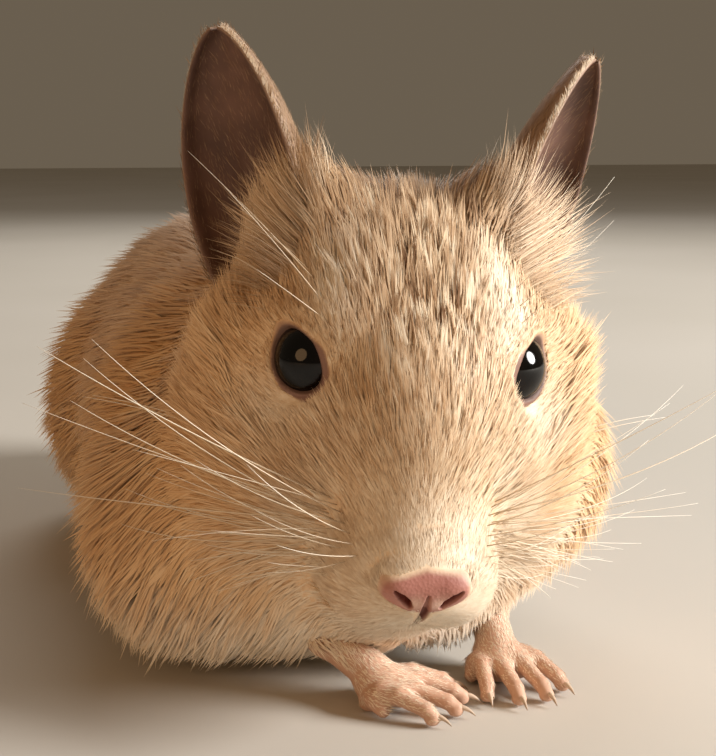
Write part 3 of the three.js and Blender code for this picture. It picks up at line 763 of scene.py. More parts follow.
def marks(p):
    """pale, dark and warm shares of the coat's colour at a point; the pale share below the eyes is partly painted
    light, and the dark share on the crown is partly painted shade.
    """
    h = to_head(p)
    q = np.stack([np.abs(h[:, 0]), h[:, 1], h[:, 2]], 1)
    body = trunk_share(p)
    s = np.linalg.norm(h - NOSE_TIP, axis=1)
    pale = 0.75 * (1 - smooth_step(s, 3, 13))  # round the nose
    pale = np.maximum(pale, 0.9 * smooth_step(-h[:, 2], 12, 22) * (1 - smooth_step(h[:, 1], 0, 26)) * (1 - body))  # lips, chin, lower cheek
    pale = np.maximum(pale, 0.95 * bell(q, [9, 2.8, 7], [2.4, 5, 3.5]))  # over the eyes
    # pale fur below the eyes, brightened further on both cheeks as painted light
    pale = np.maximum(pale, 0.75 * bell(q, [14, -6, -3], [4, 4.5, 4.5]))  # below the eyes
    pale = np.maximum(pale, 0.55 * bell(q, [17, 13, 6], [4, 5, 6]))  # in front of the ears
    pale = np.maximum(pale, 0.6 * bell(q, [9.5, -17, -11.5], [4.5, 6, 5.5]))  # behind the whiskers
    belly = 1 - smooth_step(p[:, 2], 6, 20)
    pale = np.maximum(pale, body * (0.9 * belly + 0.12 * (p[:, 1] < -35)))
    dark = 0.55 * np.exp(-(q[:, 0] / 6.5) ** 2) * smooth_step(h[:, 1], -14, 4) * (1 - body) * smooth_step(h[:, 2], 2, 8)
    dark = np.maximum(dark, 0.5 * body * smooth_step(p[:, 2], 30, 50))
    dark = np.maximum(dark, 0.35 * bell(q, [11.5, 3.5, 4.0], [2.6, 4.5, 3.0]))
    # the crown's brown hair, darkened further as painted shade
    dark = np.maximum(dark, 0.95 * bell(q, [5, 17, 9], [11, 7, 6]))
    warm = (1 - pale) * np.clip(0.2 + 0.4 * smooth_step(q[:, 0], 8, 20) + 0.75 * body, 0, 1)
    return np.clip(np.stack([pale, dark, warm], 1), 0, 1)


def pad_ring(h):
    """1 on the edge of the nose pad, less inside it."""
    x = np.abs(h[:, 0] + 0.25)
    z = h[:, 2] + 7.6
    top = 2.42 - np.where(h[:, 0] < -0.25, 0.20, 0.10) * x
    low = 1.5 + 0.4 * np.exp(-((x - 1.2) / 1.3) ** 2)
    power = np.where(z > 0, 5.0, 2.4)
    ring = ((x / 4.7) ** power + (np.abs(z) / np.where(z > 0, top, low)) ** power) ** (1 / power)
    return np.where(h[:, 1] < -21.5, ring, 9.0)


# ------------------------------------------------------------------ the lie of the coat
def tangent(v, n):
    v = v - (v * n).sum(1, keepdims=True) * n
    return unit(v)


def lie(p, n):
    """The way the hair points, along the skin."""
    h = to_head(p)
    v = h - np.array([0, -31.0, -11])
    low = smooth_step(-h[:, 2], 6, 22)
    v = unit(v)
    v[:, 2] -= 0.55 * low
    v[:, 0] += 0.25 * np.sign(h[:, 0]) * low
    # up and a little outwards on the crown
    crown = smooth_step(h[:, 1], 2, 16) * smooth_step(h[:, 2], 2, 10)
    v[:, 2] += 0.5 * crown
    v[:, 0] += 0.35 * crown * np.clip(h[:, 0] / 9, -1, 1)
    # out over the front of the ears
    q = h * np.stack([np.sign(h[:, 0]), 0 * h[:, 0] + 1, 0 * h[:, 0] + 1], 1)
    fan = bell(q, [15.5, 11.5, 4], [4.5, 5, 7])[:, None]
    v = v * (1 - 0.6 * fan) + fan * np.stack([0.75 * np.sign(h[:, 0]), 0 * h[:, 0] + 0.25, 0 * h[:, 0] + 0.75], 1)
    # round the eyes
    for side in (1, -1):
        e = h - [side * EYE_OUT, 0, 0]
        r = np.linalg.norm(e, axis=1, keepdims=True)
        k = np.exp(-(np.maximum(r - 4.8, 0) / 3.0) ** 2)
        e = e / np.maximum(r, 1e-6)
        towards = np.minimum((v * e).sum(1, keepdims=True), 0)
        v = v - 1.15 * k * towards * e + 0.12 * k * e
    head = v @ HEAD_R.T
    side = np.clip(n[:, 0], -1, 1)
    trunk = np.stack([0.10 * side, np.ones(len(p)), -0.55 * np.abs(side) - 0.15], 1)
    chest = smooth_step(-p[:, 1], 30, 46)
    trunk = trunk * (1 - chest)[:, None] + chest[:, None] * np.stack([0.45 * np.sign(p[:, 0]), 0.35 + 0 * side, -0.9 + 0 * side], 1)
    b = trunk_share(p)[:, None]
    return tangent(head * (1 - b) + trunk * b, n)


def scatter(verts, tris, normals, density, rng, extra=None):
    """Random places on a mesh, so many to the square millimetre; extra is carried along from the vertices."""
    a = 0.5 * np.linalg.norm(np.cross(verts[tris[:, 1]] - verts[tris[:, 0]], verts[tris[:, 2]] - verts[tris[:, 0]]), axis=1)
    want = a * density(verts[tris].mean(1))
    count = np.floor(want + rng.random(len(tris))).astype(int)
    t = np.repeat(np.arange(len(tris)), count)
    r1, r2 = np.sqrt(rng.random(len(t))), rng.random(len(t))
    w = np.stack([1 - r1, r1 * (1 - r2), r1 * r2], 1)[..., None]
    if extra is not None:
        return (verts[tris[t]] * w).sum(1), unit((normals[tris[t]] * w).sum(1)), (extra[tris[t]] * w).sum(1)
    return (verts[tris[t]] * w).sum(1), unit((normals[tris[t]] * w).sum(1))


def nearest(points, queries):
    tree = kdtree.KDTree(len(points))
    for i, c in enumerate(points.tolist()):
        tree.insert(c, i)
    tree.balance()
    find = tree.find
    return np.fromiter((find(c)[1] for c in queries.tolist()), int, len(queries))


class Coat:
    """Collects tufts, each a closed, flattened spindle: a root under the skin, rings, and a tip."""

    def __init__(self):
        self.rows = []

    def add(self, p, n, d, length, width, lift, rng, clump=None, strength=0.5, spread=0.18, tint=None, rings=1, sink=0.25, mark=None, settle=0.55, shape=0.38, soft=None):
        N = len(p)
        if N == 0:
            return
        length, width, lift = (np.broadcast_to(np.asarray(x, float), N).copy() for x in (length, width, lift))
        side = np.cross(n, d)
        ang = rng.normal(0, spread, N)
        if clump is not None:
            ang = 0.6 * ang + 0.8 * rng.normal(0, spread, clump.max() + 1)[clump]
            cj = rng.normal(0, 1, clump.max() + 1)[clump]
            lift = lift * np.clip(1 + 0.15 * cj, 0.5, 1.7)
        d = unit(np.cos(ang)[:, None] * d + np.sin(ang)[:, None] * side)
        length = length * np.clip(rng.normal(1, 0.16, N), 0.55, 1.5)
        lift = np.clip(lift * np.clip(rng.normal(1, 0.14, N), 0.5, 1.6), 0.03, 1.35)
        a1, a2 = np.minimum(lift * 1.35, 1.45), lift * settle
        sink = np.minimum(sink, 0.11 * length)
        start = p - n * sink[:, None]
        if rings == 1:
            ts = np.array([shape])
        else:
            ts = np.array([0.28, 0.64])
        pts, at, prev_t = [start], start, 0.0
        steps = list(ts) + [1.0]
        for i, t in enumerate(steps):
            k = i / max(len(steps) - 1, 1)
            al = (a1 * (1 - k) + a2 * k)[:, None]
            at = at + ((t - prev_t) * length)[:, None] * (np.cos(al) * d + np.sin(al) * n)
            prev_t = t
            pts.append(at)
        if clump is not None:
            # tips of a clump draw together
            tip = pts[-1]
            cnt = np.maximum(np.bincount(clump), 1)
            mean = np.stack([np.bincount(clump, tip[:, a]) / cnt for a in range(3)], 1)
            pull = (mean[clump] - tip) * np.reshape(strength, (-1, 1))
            pull -= (pull * n).sum(1, keepdims=True) * n * 0.6
            for i, t in enumerate(steps):
                pts[i + 1] = pts[i + 1] + pull * t ** 1.6
        self.rows.append(dict(pts=pts, ts=[0.0] + steps, n=n, soft=n if soft is None else soft, width=width, tint=tint if tint is not None else rng.random(N), mark=mark if mark is not None else marks(p), root=p, rings=rings))

    def build(self, name, material, slot, most=33000):
        made = []
        for row in self.rows:
            N = len(row["width"])
            order = np.argsort(row["root"][:, 1] + 0.35 * row["root"][:, 0])
            pieces = max(1, math.ceil(N * (6 * row["rings"]) / (most * 6)))
            for k in range(pieces):
                ids = order[k * N // pieces:(k + 1) * N // pieces]
                made.append(self.piece(f"{name}_{len(made) + 1:02d}", row, ids, material))
        return made

    def piece(self, name, row, ids, material):
        N, R = len(ids), row["rings"]
        pts = [q[ids] for q in row["pts"]]
        n, w = row["n"][ids], row["width"][ids]
        per = 2 + 3 * R
        V = np.empty((N, per, 3))
        NRM = np.empty((N, per, 3))
        DOWN = np.empty((N, per, 3))
        AL = np.empty((N, per))
        UV = np.empty((per, 2))
        V[:, 0], NRM[:, 0], AL[:, 0], UV[0] = pts[0], n, 0.0, (0.5, 0.0)
        for i in range(R):
            ax = unit(pts[i + 2] - pts[i])
            b = unit(np.cross(ax, n))
            up = np.cross(b, ax)
            half = (w * (0.5 if i == 0 else 0.42))[:, None]
            c = pts[i + 1]
            V[:, 1 + 3 * i] = c - b * half - up * half * 0.1
            V[:, 2 + 3 * i] = c + up * half * 0.3
            V[:, 3 + 3 * i] = c + b * half - up * half * 0.1
            NRM[:, 1 + 3 * i] = unit(0.75 * up - 0.8 * b)
            NRM[:, 2 + 3 * i] = up
            NRM[:, 3 + 3 * i] = unit(0.75 * up + 0.8 * b)
            DOWN[:, 1 + 3 * i:4 + 3 * i] = -up[:, None]
            AL[:, 1 + 3 * i:4 + 3 * i] = row["ts"][i + 1]
            y = row["ts"][i + 1]
            UV[1 + 3 * i], UV[2 + 3 * i], UV[3 + 3 * i] = (0.0, y), (0.5, y), (1.0, y)
        V[:, -1], AL[:, -1], UV[-1] = pts[-1], 1.0, (0.5, 1.0)
        V[..., 2] = np.maximum(V[..., 2], 0.12 + 0.1 * (V[..., 2] + 2).clip(0, 2) / 2)
        ax = unit(pts[-1] - pts[-2])
        NRM[:, -1] = unit(n - (n * ax).sum(1, keepdims=True) * ax * 0.9)
        f = [[0, 2, 1], [0, 3, 2], [0, 1, 3]]
        for i in range(R - 1):
            a, b = 1 + 3 * i, 4 + 3 * i
            for x, y in ((0, 1), (1, 2), (2, 0)):
                f += [[a + x, a + y, b + y], [a + x, b + y, b + x]]
        a = 1 + 3 * (R - 1)
        f += [[a, a + 1, per - 1], [a + 1, a + 2, per - 1], [a + 2, a, per - 1]]
        f = np.array(f)
        DOWN[:, 0], DOWN[:, -1] = DOWN[:, 1], DOWN[:, -2]
        below = [2, len(f) - 1] + [3 + 6 * i + k for i in range(R - 1) for k in (4, 5)]
        F = (f[None] + (np.arange(N) * per)[:, None, None]).reshape(-1, 3)
        ob = make_mesh(name, V.reshape(-1, 3), F)
        me = ob.data
        add_attribute(ob, "along", AL.ravel())
        add_attribute(ob, "tint", np.repeat(row["tint"][ids], per))
        add_attribute(ob, "mark", np.repeat(row["mark"][ids], per, axis=0))
        nrm = unit(0.22 * NRM + 0.78 * row["soft"][ids][:, None])
        corner = nrm[:, f]
        corner[:, below] = DOWN[:, f[below]]
        me.normals_split_custom_set(corner.reshape(-1, 3).astype(np.float32))
        # each tuft has a patch of its own, in the order of its root on an unwrap of the skin
        u, v = unwrap(row["root"][ids])
        cols = int(math.ceil(math.sqrt(N)))
        byv = np.argsort(v, kind="stable")
        place = np.empty((N, 2))
        for r in range(cols):
            part = byv[r * N // cols:(r + 1) * N // cols]
            part = part[np.argsort(u[part], kind="stable")]
            place[part, 0] = (np.arange(len(part)) + 0.5) / max(len(part), 1)
            place[part, 1] = (r + 0.5) / cols
        size = min(0.003, 0.8 / cols)
        luv = (place[:, None] + (UV[None] - 0.5) * size).reshape(-1, 2)[F.ravel()]
        layer = me.uv_layers.new(name="OFBake")
        layer.data.foreach_set("uv", luv.astype(np.float32).ravel())
        me.materials.append(material)
        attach(ob, "root")
        return ob


def unwrap(p):
    """The skin laid out flat: turns round the animal's long line, and the way along it."""
    h = to_head(p)
    b = trunk_share(p)
    c = np.array([0, 0, 26.0])
    a_body = np.arctan2(p[:, 0] - c[0], p[:, 2] - c[2])
    a_head = np.arctan2(h[:, 0], h[:, 2] + 8)
    u = (a_head * (1 - b) + a_body * b) / (2 * np.pi) + 0.5
    v = ((h[:, 1] + 26) * (1 - b) + (p[:, 1] + 70) * b) / 150
    return u, v


rng = np.random.default_rng(20)
bv, bt = body_skin
bn = normals_of(bv, bt)
in_scene = 1.0


def ear_inside(h, side):
    """True where a point of the head's frame lies in the cup of that ear."""
    q = h * [side, 1, 1] - np.array(EAR["root"])
    u, x, l = q @ EAR_UP / EAR["height"], q @ EAR_OUT, q @ EAR_LOOK
    half = (EAR["width"] / 2) * np.sin(np.pi * np.clip(0.2 + 0.8 * u, 0.02, 1)) ** 0.6
    deep = EAR["hollow"] * np.sqrt(np.clip(1 - (x / half) ** 2, 0, 1))
    return (u > -0.12) & (u < 1) & (np.abs(x) < half) & (l > -deep - 0.5) & (l < 0.2)


def coat_length(h, b, p):
    s = np.linalg.norm(h - NOSE_TIP, axis=1)
    head = np.interp(s, [0, 3, 6, 10, 16, 25, 38, 55], [0.6, 1.0, 1.5, 2.2, 3.5, 5.0, 6.2, 7.8])
    body = 9.5 - 2.0 * smooth_step(-p[:, 1], 20, 50) - 1.5 * (1 - smooth_step(p[:, 2], 4, 14))
    length = head * (1 - b) + body * b
    for side in (1, -1):
        q = h * [side, 1, 1]
        e = np.linalg.norm(q - [EYE_OUT, 0, 0], axis=1)
        length *= 0.24 + 0.76 * smooth_step(e, 5.2 + 0.6 * in_front(q), 10.5)
    return length


def coat_width(h, b):
    s = np.linalg.norm(h - NOSE_TIP, axis=1)
    head = np.interp(s, [0, 3, 6, 10, 16, 25, 38, 55], [0.085, 0.095, 0.105, 0.115, 0.135, 0.155, 0.18, 0.24])
    return head * (1 - b) + 0.30 * b


def bare(h):
    """1 where no hair grows: the nose pad, the lids, the slit of the mouth."""
    q = np.stack([np.abs(h[:, 0]), h[:, 1], h[:, 2]], 1)
    slit = (q[:, 0] < 0.55) & (q[:, 2] < -9) & (q[:, 2] > -11.9) & (q[:, 1] < -24)
    ring, r, a = eye_ring(q)
    lid = 1.03 + 0.13 * in_front(q)
    return (pad_ring(h) < 1) | slit | ((ring < lid) & (a > 0) & (r < 7))


def in_front(q):
    """1 on the nose side of the eye, 0 behind it."""
    e = unit(q - [EYE_OUT, 0, 0])
    return smooth_step(-(e @ EYE_BACK) * EYE_R, -0.5, 1.5)


def body_density(c):
    h = to_head(c)
    b = trunk_share(c)
    L, W = coat_length(h, b, c), coat_width(h, b)
    cover = 10.9 * (1 - b) + 5.4 * b
    s = np.linalg.norm(h - NOSE_TIP, axis=1)
    d = cover * np.interp(s, [3, 8, 14], [0.62, 0.85, 1]) / (0.5 * L * W)
    d = np.minimum(d, 105)
    hidden = (c[:, 2] < 5) & (b > 0.5)
    d = np.where(hidden, d * 0.35, d)
    for side in (1, -1):
        d = np.where(ear_inside(h, side), 0, d)
    return np.where(bare(h), 0, d) * in_scene


P, NM = scatter(bv, bt, bn, body_density, rng)
H, B = to_head(P), trunk_share(P)
keep = ~bare(H)
P, NM, H, B = P[keep], NM[keep], H[keep], B[keep]
say("roots", len(P), "on the trunk", int((B > 0.5).sum()))
D = lie(P, NM)
L, W = coat_length(H, B, P), coat_width(H, B)
depth = coat_depth(H)
lift = np.arcsin(np.clip(0.95 * depth / L, 0.08, 0.75))
nose_near = 1 - smooth_step(np.linalg.norm(H - NOSE_TIP, axis=1), 3, 9)
lift = np.maximum(lift, 0.17 * nose_near)
Q = np.stack([np.abs(H[:, 0]), H[:, 1], H[:, 2]], 1)
fan = bell(Q, [15.0, 11.0, 5], [4.5, 5, 7]) * (1 - B)
L = L * (1 + 0.25 * fan)
lift = lift * (1 + 0.15 * fan)
brow = bell(Q, [0, 2, 6], [11, 15, 9]) * (1 - B)
guides = rng.random(len(P)) < 0.10 - 0.055 * brow - 0.03 * B
g_ids = np.flatnonzero(guides)
clump = nearest(P[g_ids], P + rng.normal(0, 0.15, P.shape))
say("clumps", len(g_ids))
middle = bell(Q, [0, 1, 7], [9, 14, 9]) * (1 - B)
vary = 0.09 + 0.21 * middle - 0.01 * B
smooth_n = unit(gradient(soft_coat, P, 4.5))
patches = np.sin(P[:, 0] * 0.9 + 1.7 * np.sin(P[:, 1] * 0.31)) * np.sin(P[:, 1] * 0.63 + 2.1 * np.sin(P[:, 2] * 0.37)) * np.sin(P[:, 2] * 0.71 + 0.5)
tint = np.clip(0.52 + vary * (rng.normal(0, 1, len(g_ids))[clump] + 0.55 * rng.normal(0, 1, len(P))) + 0.10 * patches, 0, 1)
coat_face, coat_body = Coat(), Coat()
on_head = B < 0.5
# clump numbers have to be dense in each set
def dense(ids):
    return np.unique(ids, return_inverse=True)[1]


m = on_head
coat_face.add(P[m], NM[m], D[m], L[m], W[m] * 1.08, lift[m], rng, clump=dense(clump[m]), strength=(0.20 + 0.36 * brow)[m], spread=0.13, tint=tint[m], soft=smooth_n[m])
m = ~on_head
coat_body.add(P[m], NM[m], D[m], L[m] * 1.05, W[m] * 1.12, lift[m], rng, clump=dense(clump[m]), strength=0.17, spread=0.12, tint=tint[m], rings=1, settle=0.5, shape=0.35, soft=smooth_n[m])
say("coat worked out")

# ears: fine short hair on the back, a fringe on the rim, a thin down inside
coat_fine = Coat()
for side in (1, -1):
    ev, et, inner, uv = ears[side]
    en = normals_of(ev, et)
    out = et[(inner[et].sum(1) == 0)]
    p, n, x = scatter(ev, out, en, lambda c: np.full(len(c), 8.0 * in_scene), rng, uv)
    keep = x[:, 0] > -0.02
    p, n, x = p[keep], n[keep], x[keep]
    tip = EAR_UP * [side, 1, 1] @ HEAD_R.T
    away = EAR_OUT * [side, 1, 1] @ HEAD_R.T
    d = tangent(tip + 0.35 * x[:, 1:2] * away, n)
    long = np.interp(x[:, 0], [0, 0.25, 0.6, 1], [3.4, 2.1, 1.5, 1.1])
    # brown hair on the back of the ear, darkened further as painted shade
    mark = np.stack([0.12 * rng.random(len(p)), 0.85 * np.ones(len(p)), 0.1 * np.ones(len(p))], 1)
    coat_fine.add(p, n, d, long, 0.10, 0.2, rng, spread=0.2, sink=0.08, mark=mark, tint=np.clip(rng.normal(0.32, 0.10, len(p)), 0, 1))
    # rim
    k = int(1700 * in_scene)
    u, v = rng.random(k) ** 0.8 * 0.99, np.where(rng.random(k) < 0.5, -1.0, 1.0) * (1 - 0.02 * rng.random(k))
    p = from_head(ear_point(u, v) * [side, 1, 1])
    out_dir = np.sign(v)[:, None] * EAR_OUT
    n = unit((0.7 * out_dir + 0.7 * EAR_LOOK) * [side, 1, 1] @ HEAD_R.T)
    d = tangent(np.broadcast_to(tip, p.shape) + 0.5 * out_dir * [side, 1, 1] @ HEAD_R.T, n)
    mark = np.stack([0.6 + 0.2 * rng.random(k), 0.1 * np.ones(k), 0.2 * np.ones(k)], 1)
    coat_fine.add(p, n, d, np.interp(u, [0, 0.3, 1], [2.4, 1.3, 0.9]), 0.06, 0.12, rng, spread=0.2, sink=0.1, mark=mark, tint=np.clip(rng.normal(0.6, 0.12, k), 0, 1))
    # inside, thin: a down over the whole cup
    inn = et[(inner[et].sum(1) == 3)]
    p, n, x = scatter(ev, inn, en, lambda c: np.full(len(c), 2.2 * in_scene), rng, uv)
    keep = x[:, 0] > 0.06
    p, n, x = p[keep], n[keep], x[keep]
    d = tangent(tip + 0.5 * x[:, 1:2] * away, n)
    mark = np.stack([0 * x[:, 0], 0.4 + 0 * x[:, 0], 0.2 + 0 * x[:, 0]], 1)
    coat_fine.add(p, n, d, 1.3, 0.032, 0.14, rng, spread=0.2, sink=0.05, mark=mark, tint=np.clip(rng.normal(0.3, 0.12, len(p)), 0, 1))

# feet: short hair on top, none under the pads or at the tips of the toes
coat_feet = Coat()
for (kind, side), (fv, ft) in feet.items():
    fn = normals_of(fv, ft)
    p, n = scatter(fv, ft, fn, lambda c: np.full(len(c), 11.5 * in_scene), rng)
    if kind == "fore":
        a, on = ARM[side], arm_frame(side)
        f = on(1, 0, 0) - on(0, 0, 0)
        local = (p - on(0, 0, 0)) @ f
        arm = unit(np.array(a["wrist"], float) - np.array(a["mid"], float))
        share = smooth_step(local, -3, 1)[:, None]
        d = arm * (1 - share) + (f + [0, 0, -0.15]) * share
        up_arm = smooth_step(-local, 2, 14)
        reach = 9.0
    else:
        d = np.array([0, -1.0, -0.1]) + 0 * p
        local = 12 - p[:, 1]
        up_arm = smooth_step(p[:, 1], 14, 34)
        reach = 11.0
    keep = (n[:, 2] > -0.25 + 0.2 * rng.random(len(p))) & (p[:, 2] > 0.6) & (rng.random(len(p)) > smooth_step(local, reach - 3, reach))
    keep &= flesh(p) > -0.6
    p, n, d, up_arm, local = p[keep], n[keep], tangent(d[keep], n[keep]), up_arm[keep], local[keep]
    long = 1.05 + 3.0 * up_arm - 0.35 * smooth_step(local, 2, 7)
    mark = np.stack([np.clip(0.8 - 0.35 * up_arm, 0, 1), 0.05 + 0 * up_arm, 0.2 + 0 * up_arm], 1)
    coat_feet.add(p, n, d, long, 0.09 + 0.08 * up_arm, 0.2, rng, spread=0.2, sink=0.08, mark=mark, tint=np.clip(rng.normal(0.55, 0.13, len(p)), 0, 1))

# tail: lies along it, and opens into a dark brush over the last third
coat_tail = Coat()
tv, tt3 = tail_skin
tn = normals_of(tv, tt3)
pos = np.repeat(np.linspace(0, 1, len(TAIL_C)), 24)
pos = np.concatenate([pos, [0, 1]])
dirs, _, _ = frames_along(TAIL_C)
p, n, x = scatter(tv, tt3, tn, lambda c: np.full(len(c), 7.6 * in_scene), rng, pos[:, None])
x = x[:, 0]
keep = (flesh(p) > -0.8)
p, n, x = p[keep], n[keep], x[keep]
d = dirs[np.clip((x * (len(TAIL_C) - 1)).astype(int), 0, len(TAIL_C) - 1)]
long = np.interp(x, [0, 0.15, 0.35, 0.6, 0.75, 0.9, 1], [8, 5.5, 3.4, 3.2, 6.0, 8.5, 9.0])
up = np.interp(x, [0, 0.15, 0.35, 0.6, 0.75, 0.9, 1], [0.4, 0.35, 0.24, 0.28, 0.46, 0.5, 0.5])
brush = smooth_step(x, 0.5, 0.78)
base_mark = marks(p)
mark = np.stack([0.15 * (1 - brush) * base_mark[:, 0], np.clip(0.25 + 0.75 * brush + 0 * x, 0, 1), 0.4 * (1 - brush)], 1)
tail_tint = np.clip(rng.normal(0.5 - 0.22 * brush, 0.2), 0, 1)
coat_tail.add(p, n, tangent(d, n), long, np.interp(x, [0, 0.3, 0.6, 1], [0.26, 0.16, 0.16, 0.2]), up, rng, spread=0.16, sink=0.15, mark=mark, tint=tail_tint)
# long hairs that fan out over the front of each ear, and stand at the corners of the crown
FAN = np.array([[10.2, 18.5, 9.6], [11.6, 16.5, 9.6], [12.6, 14.0, 8.0], [13.2, 11.5, 5.8], [14.2, 8.8, 4.4], [15.4, 6.4, 3.2]])
FAN_WAY = np.array([[0.05, 0.5, 0.9], [0.3, 0.4, 0.9], [0.6, 0.3, 0.75], [0.8, 0.25, 0.55], [0.9, 0.25, 0.4], [0.95, 0.3, 0.15]])
for side in (1, -1):
    k = int(620 * in_scene)
    t = rng.random(k) * (len(FAN) - 1)
    pick = lambda table: np.stack([np.interp(t, np.arange(len(table)), table[:, i]) for i in range(3)], 1)
    g = (pick(FAN) + rng.normal(0, 0.9, (k, 3))) * [side, 1, 1]
    p = project(flesh, from_head(g), 6, 1.5)
    n = unit(gradient(flesh, p))
    way = unit(pick(FAN_WAY) * [side, 1, 1] + rng.normal(0, 0.10, (k, 3))) @ HEAD_R.T
    rise = np.clip(np.arcsin(np.clip((way * n).sum(1), -1, 1)), 0.25, 1.1)
    bunch = nearest(p[:k // 11], p + rng.normal(0, 0.25, p.shape))
    bunch = np.unique(bunch, return_inverse=True)[1]
    mark = np.stack([0.05 + 0.25 * rng.random(k), 0.5 + 0 * t, 0.3 + 0 * t], 1)
    long = 5.4 + 3.2 * np.sin(np.pi * t / (len(FAN) - 1)) + 2.2 * rng.random(k)
    coat_fine.add(p, n, tangent(way, n), long, 0.085, rise / 0.95, rng, clump=bunch, strength=0.35, spread=0.16, rings=2, settle=0.75, sink=0.2, mark=mark, tint=np.clip(rng.normal(0.46, 0.24, k), 0, 1))
say("fine hair", [sum(len(r["width"]) for r in c.rows) for c in (coat_face, coat_body, coat_fine, coat_feet, coat_tail)])


# ------------------------------------------------------------------ materials
def linear(c):
    c = np.array(c, float) / 255
    return np.where(c <= 0.04045, c / 12.92, ((c + 0.055) / 1.055) ** 2.4)


def rgba(r, g, b):
    return (*linear((r, g, b)), 1.0)


class Mat:
    def __init__(self, name, roughness=0.6, specular=0.3):
        self.m = bpy.data.materials.new(name)
        self.m.use_nodes = True
        self.t = self.m.node_tree
        self.bsdf = next(n for n in self.t.nodes if n.type == "BSDF_PRINCIPLED")
        self.bsdf.inputs["Roughness"].default_value = roughness
        self.bsdf.inputs["Specular IOR Level"].default_value = specular

    def node(self, kind, **settings):
        n = self.t.nodes.new(kind)
        for k, v in settings.items():
            if k in n.inputs:
                n.inputs[k].default_value = v
            else:
                setattr(n, k, v)
        return n

    def link(self, a, b):
        self.t.links.new(a, b)

    def attr(self, name, out="Fac"):
        n = self.node("ShaderNodeAttribute", attribute_name=name)
        return n.outputs[out]

    def mix(self, fac, a, b, blend="MIX"):
        n = self.node("ShaderNodeMix", data_type="RGBA", blend_type=blend)
        for sock, v in ((n.inputs[0], fac), (n.inputs[6], a), (n.inputs[7], b)):
            if isinstance(v, bpy.types.NodeSocket):
                self.link(v, sock)
            else:
                sock.default_value = v
        return n.outputs[2]

    def math(self, op, a, b=0.0, c=0.0, clamp=False):
        n = self.node("ShaderNodeMath", operation=op, use_clamp=clamp)
        for sock, v in zip(n.inputs, (a, b, c)):
            if isinstance(v, bpy.types.NodeSocket):
                self.link(v, sock)
            else:
                sock.default_value = v
        return n.outputs[0]

    def ramp(self, fac, stops, interpolation="LINEAR"):
        n = self.node("ShaderNodeValToRGB")
        r = n.color_ramp
        r.interpolation = interpolation
        while len(r.elements) < len(stops):
            r.elements.new(0.5)
        for e, (pos, col) in zip(r.elements, stops):
            e.position = pos
            e.color = col
        self.link(fac, n.inputs[0])
        return n.outputs[0]

    def noise(self, scale, detail=3.0, rough=0.5):
        n = self.node("ShaderNodeTexNoise", Scale=scale, Detail=detail, Roughness=rough)
        c = self.node("ShaderNodeTexCoord")
        self.link(c.outputs["Object"], n.inputs["Vector"])
        return n.outputs[0]

    def colour(self, c):
        if isinstance(c, bpy.types.NodeSocket):
            self.link(c, self.bsdf.inputs["Base Color"])
        else:
            self.bsdf.inputs["Base Color"].default_value = c

    def bump(self, height, strength, distance):
        n = self.node("ShaderNodeBump", Strength=strength, Distance=distance)
        self.link(height, n.inputs["Height"])
        self.link(n.outputs[0], self.bsdf.inputs["Normal"])


# ------------------------------------------------------------------ coat and skin materials
def coat_colour(m, tint, pale, dark, warm, along=None):
    """Sand, with brown and cream hairs mixed in; pale, dark and warm shift the mix."""
    sand = m.ramp(tint, [(0.0, rgba(140, 106, 76)), (0.2, rgba(188, 153, 117)), (0.45, rgba(222, 195, 162)), (0.7, rgba(236, 216, 188)), (1.0, rgba(246, 235, 215))])
    gold = m.ramp(tint, [(0.0, rgba(150, 104, 60)), (0.3, rgba(208, 160, 104)), (0.65, rgba(227, 184, 130)), (1.0, rgba(240, 212, 168))])
    cream = m.ramp(tint, [(0.0, rgba(220, 197, 168)), (0.3, rgba(238, 220, 194)), (0.7, rgba(245, 232, 212)), (1.0, rgba(250, 243, 229))])
    brown = m.ramp(tint, [(0.0, rgba(96, 66, 44)), (0.4, rgba(150, 112, 76)), (0.75, rgba(204, 168, 126)), (1.0, rgba(236, 213, 178))])
    c = m.mix(warm, sand, gold)
    c = m.mix(dark, c, brown)
    c = m.mix(pale, c, cream)
    if along is not None:
        shade = m.ramp(along, [(0.0, (0.88, 0.83, 0.78, 1)), (0.3, (0.96, 0.95, 0.94, 1)), (0.7, (1, 1, 1, 1)), (1.0, (1.02, 1.02, 1.02, 1))])
        c = m.mix(1.0, c, shade, "MULTIPLY")
    return c


def separate(m, socket):
    n = m.node("ShaderNodeSeparateXYZ")
    m.link(socket, n.inputs[0])
    return n.outputs


def coat_material(name, roughness=0.5):
    m = Mat(name, roughness, 0.16)
    m.bsdf.inputs["Sheen Weight"].default_value = 0.18
    m.bsdf.inputs["Sheen Roughness"].default_value = 0.5
    marks_out = separate(m, m.attr("mark", "Vector"))
    m.colour(coat_colour(m, m.attr("tint"), marks_out[0], marks_out[1], marks_out[2], m.attr("along")))
    return m.m


fur = coat_material("coat")
coat_face.build("coat_head", fur, "coat")
coat_body.build("coat_body", fur, "coat")
coat_fine.build("coat_ears", fur, "coat")
coat_feet.build("coat_feet", fur, "coat")
coat_tail.build("coat_tail", fur, "coat")
say("coat built")


